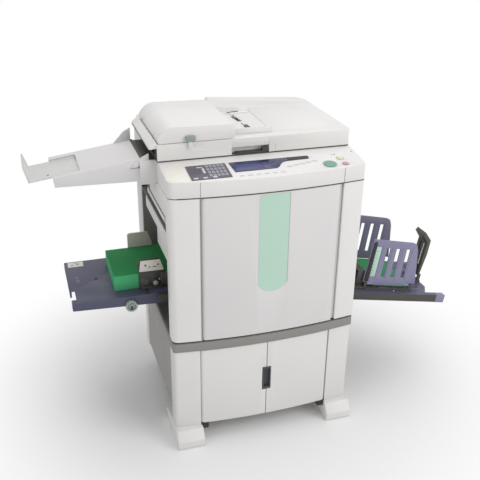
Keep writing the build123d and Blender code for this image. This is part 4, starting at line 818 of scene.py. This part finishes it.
# %% Skirts, dial and recess
skirt = [(-624, 521), (-262, 521), (-262, 505), (-335, 505), (-624, 518.6)]
detail("feed_tray_skirts", "feed_tray", "slate",
       [("outline", skirt, -155.4, 2.4, "Y"), ("outline", skirt, 153.0, 2.4, "Y")], 0.4)
detail("dial_hub", "feed_dial", "mechanism", [("disc", (-437, -169.2, 507.0), 5.0, 3.0, "Y", 4.0)], 0.3)
detail("recess_blob", "machine", "dark_grey", [("box", (-327.5, 18, 854), (-322.6, 66, 868))], 0.8)
detail("box_shadow_gaps", "disposal_box", "mechanism", [
    ("box", (-317.7, -189, 833), (-316.9, 94, 845)), ("box", (-317.7, -189, 799), (-316.9, 94, 809)),
], 0.0)
detail("fence_slot_floor", "feed_tray", "charcoal", [
    ("box", (-385, -148, 539.4), (-367, -84, 540.7)), ("box", (-385, 84, 539.4), (-367, 148, 540.7)),
], 0.0)
print("pieces after the feed side", len(pieces))

# %% [markdown]
# ## Receiving side
#
# The tall fences fold on pins. A dark paper arranger and a mint scale stand on the front fence,
# and the end stopper is dark with a pale slit. A low stack of finished prints lies between the
# fences, against a dark stop.

# %% Prints and rail
SURFACE = -36.0             # the tray's top in its own frame
FRONT_AXIS = SURFACE + 20
REAR_AXIS = SURFACE + 30
FENCE_FACE = 110            # from the tray's middle to a fence
SLIDER_FACE = 118.5         # from the tray's middle to a slider's outer face
detail("prints", "receiving_tray", "print", [
    ("box", (142, -61.5, SURFACE + 0.3), (284, 61.5, SURFACE + 9)),
    ("box", (142, -103, SURFACE + 8), (284, 103, SURFACE + 27)),
], 0.5, RECEIVING)
detail("print_edge_stop", "receiving_tray", "mechanism", [
    ("box", (30, -124, SURFACE - 0.3), (86, 124, SURFACE + 9)),
    ("box", (58, -104, SURFACE + 8), (90, 104, SURFACE + 68)),
    ("box", (88, -104, SURFACE + 8), (138, 104, SURFACE + 27)),
    ("box", (84, -61.5, SURFACE - 0.3), (138, 61.5, SURFACE + 9)),
], 0.8, RECEIVING)
repaint(dressed["receiving_tray"], "mechanism", lambda x, y, z: y < -127)
detail("rail_end_cap", "receiving_tray", "slate_light",
       [("box", (402, -150.8, SURFACE - 30.6), (440.8, -127.4, SURFACE + 0.7))], 0.6, RECEIVING)

# %% Receiving fences, stopper and tray lines
detail("arranger", "receiving_fence_front", "black", [
    ("outline", [(86, FRONT_AXIS + 12), (103, FRONT_AXIS + 12), (101, FRONT_AXIS + 168),
                 (95, FRONT_AXIS + 176), (87, FRONT_AXIS + 170)], -115.8, 3.2, "Y"),
], 0.8, RECEIVING)
detail("scale_strip", "receiving_fence_front", "mint", [
    ("outline", [(105, FRONT_AXIS + 32), (126, FRONT_AXIS + 32), (122, FRONT_AXIS + 154),
                 (101.5, FRONT_AXIS + 154)], -113.9, 1.3, "Y"),
], 0.2, RECEIVING)
detail("scale_marks", "receiving_fence_front", "mechanism", [
    ("box", (106, -114.3, FRONT_AXIS + 44 + 13 * row),
     (113 if row % 2 else 110, -113.8, FRONT_AXIS + 45.6 + 13 * row)) for row in range(8)
], 0.0, RECEIVING)
for side, name, axis_height in ((-1, "front", FRONT_AXIS), (1, "rear", REAR_AXIS)):
    face_y = side * FENCE_FACE
    detail("fence_ribs_" + name, "receiving_fence_" + name, "slate_light", [
        ("box", (x - 2, face_y - 3.6, axis_height + 20), (x, face_y + 3.6, axis_height + 158))
        for x in (131, 174, 217, 262)], 0.8, RECEIVING)
    lock_low, lock_high = sorted((side * SLIDER_FACE, side * SLIDER_FACE + side * 3.8))
    detail("slider_lock_" + name, "receiving_slider_" + name, "charcoal", [
        ("box", (150, lock_low, SURFACE + 1), (190, lock_high, SURFACE + 12)),
        ("disc", (222, side * 119.5, SURFACE + 8), 7.0, 3.0, "Z", 6.0),
    ], 0.6, RECEIVING)
detail("stopper_slit", "end_stopper", "cream",
       [("box", (382.5, -8, SURFACE + 78), (384.5, -5, SURFACE + 150)),
        ("box", (373.2, -18, SURFACE + 70), (374.2, -11, SURFACE + 162))], 0.0, RECEIVING)
detail("tray_lines", "receiving_tray", "slate_light", [
    ("box", (300, y - 1.2, SURFACE - 0.2), (352, y + 1.2, SURFACE + 0.5)) for y in (-100, -70, 70, 100)
], 0.2, RECEIVING)
print("pieces after the receiving side", len(pieces))

# %% [markdown]
# ## Back
#
# The rear cover is one moulded panel. Screws along its edges hold it, and the supply enters low
# down through a rimmed socket with three pins.

# %% Rear cover details
REAR = 297.0                # the rear cover's outer face
screw_places = [(x, z) for x in (-300, 300) for z in (430, 660, 900)]
detail("rear_screws", "machine", "steel",
       [("disc", (x, REAR + 0.6, z), 5.0, 2.4, "Y", 4.2) for x, z in screw_places], 0.3)
detail("rear_screw_slots", "machine", "mechanism", [
    ("box", (x - 3.4, REAR + 1.4, z - 0.7), (x + 3.4, REAR + 2.0, z + 0.7)) for x, z in screw_places
], 0.0)
inlet_rims = [(-262, 430, -214, 436), (-262, 462, -214, 468), (-262, 435, -256, 463), (-220, 435, -214, 463)]
detail("power_inlet", "machine", "black",
       [("box", (x0, REAR - 0.5, z0), (x1, REAR + 4, z1)) for x0, z0, x1, z1 in inlet_rims]
       + [("box", (-257, REAR - 0.5, 435), (-219, REAR + 0.4, 463))], 0.5)
pin_places = [(-249, 445), (-239, 449), (-229, 445)]
detail("power_inlet_pins", "machine", "steel",
       [("box", (x, REAR + 0.2, z), (x + 2, REAR + 3.6, z + 6)) for x, z in pin_places], 0.0)
print("pieces in all", len(pieces))

# %% [markdown]
# ## Studio
#
# The photograph is a catalogue cut-out on white. A plain pale floor keeps the shadow and turns to
# white further out. The world is full white to the camera and in reflections, but lights the
# machine at half that, and the lamps stay at a level where a colour renders about as written.

# %% Floor
FLOOR_HALF = 12.0           # metres
FADE_FROM, FADE_TO = 0.45, 1.25


def studio_floor():
    """A pale floor sheet that takes the shadow and turns to plain white further out."""
    work = bmesh.new()
    bmesh.ops.create_grid(work, x_segments=1, y_segments=1, size=FLOOR_HALF)
    mesh = bpy.data.meshes.new("floor")
    work.to_mesh(mesh)
    work.free()
    floor = bpy.data.objects.new("floor", mesh)
    bpy.context.scene.collection.objects.link(floor)
    material, tree, output, where = blank("pale_floor")
    speckle = add(tree, "ShaderNodeTexNoise", {"Scale": 3.0}, {"Vector": where})
    tone = add(tree, "ShaderNodeMapRange", {"To Min": 0.90, "To Max": 0.92},
               {"Value": speckle.outputs["Fac"]})
    colour = add(tree, "ShaderNodeCombineColor", None,
                 {channel: tone.outputs["Result"] for channel in ("Red", "Green", "Blue")})
    matte = add(tree, "ShaderNodeBsdfDiffuse", None, {"Color": colour.outputs["Color"]})
    distance = add(tree, "ShaderNodeVectorMath", None, {0: where}, operation="LENGTH")
    fade = add(tree, "ShaderNodeMapRange", {"From Min": FADE_FROM, "From Max": FADE_TO},
               {"Value": distance.outputs["Value"]}, interpolation_type="SMOOTHSTEP")
    path = add(tree, "ShaderNodeLightPath")
    amount = add(tree, "ShaderNodeMath", None, {0: fade.outputs["Result"], 1: path.outputs["Is Camera Ray"]},
                 operation="MULTIPLY")
    glow = add(tree, "ShaderNodeEmission", {"Color": (1.0, 1.0, 1.0, 1.0), "Strength": 1.0})
    mixed = add(tree, "ShaderNodeMixShader", None,
                {0: amount.outputs["Value"], 1: matte.outputs["BSDF"], 2: glow.outputs["Emission"]})
    tree.links.new(mixed.outputs["Shader"], output.inputs["Surface"])
    mesh.materials.append(material)


studio_floor()
print("floor half", FLOOR_HALF, "m")

# %% Lamps


def soft_lamp(name, position, target, size, power):
    """A square area lamp that looks at a place."""
    lamp_data = bpy.data.lights.new(name, "AREA")
    lamp_data.size = size
    lamp_data.energy = power
    lamp = bpy.data.objects.new(name, lamp_data)
    bpy.context.scene.collection.objects.link(lamp)
    lamp.location = position
    lamp.rotation_euler = (target - position).to_track_quat("-Z", "Y").to_euler()


middle = at(0, 0, 700)
soft_lamp("key_lamp", at(2100, -2500, 2500), middle, 2.4, 54.0)
soft_lamp("fill_lamp", at(-2600, -1800, 1700), middle, 2.6, 14.0)
soft_lamp("top_lamp", at(0, 200, 3200), middle, 2.6, 23.0)
print("lamps", [item.name for item in bpy.data.lights])

# %% World
world = bpy.data.worlds.new("studio")
world.use_nodes = True
bpy.context.scene.world = world
tree = world.node_tree
tree.nodes.clear()
output = add(tree, "ShaderNodeOutputWorld")
path = add(tree, "ShaderNodeLightPath")
seen = add(tree, "ShaderNodeMath", None, {0: path.outputs["Is Camera Ray"], 1: path.outputs["Is Glossy Ray"]},
           operation="MAXIMUM")
seen_through = add(tree, "ShaderNodeMath", None,
                   {0: seen.outputs["Value"], 1: path.outputs["Is Transmission Ray"]}, operation="MAXIMUM")
strength = add(tree, "ShaderNodeMapRange", {"To Min": 0.5, "To Max": 1.0},
               {"Value": seen_through.outputs["Value"]})
sky = add(tree, "ShaderNodeBackground", {"Color": (1.0, 1.0, 1.0, 1.0)},
          {"Strength": strength.outputs["Result"]})
tree.links.new(sky.outputs["Background"], output.inputs["Surface"])
bpy.context.scene.view_settings.view_transform = "Standard"
print("world", world.name)
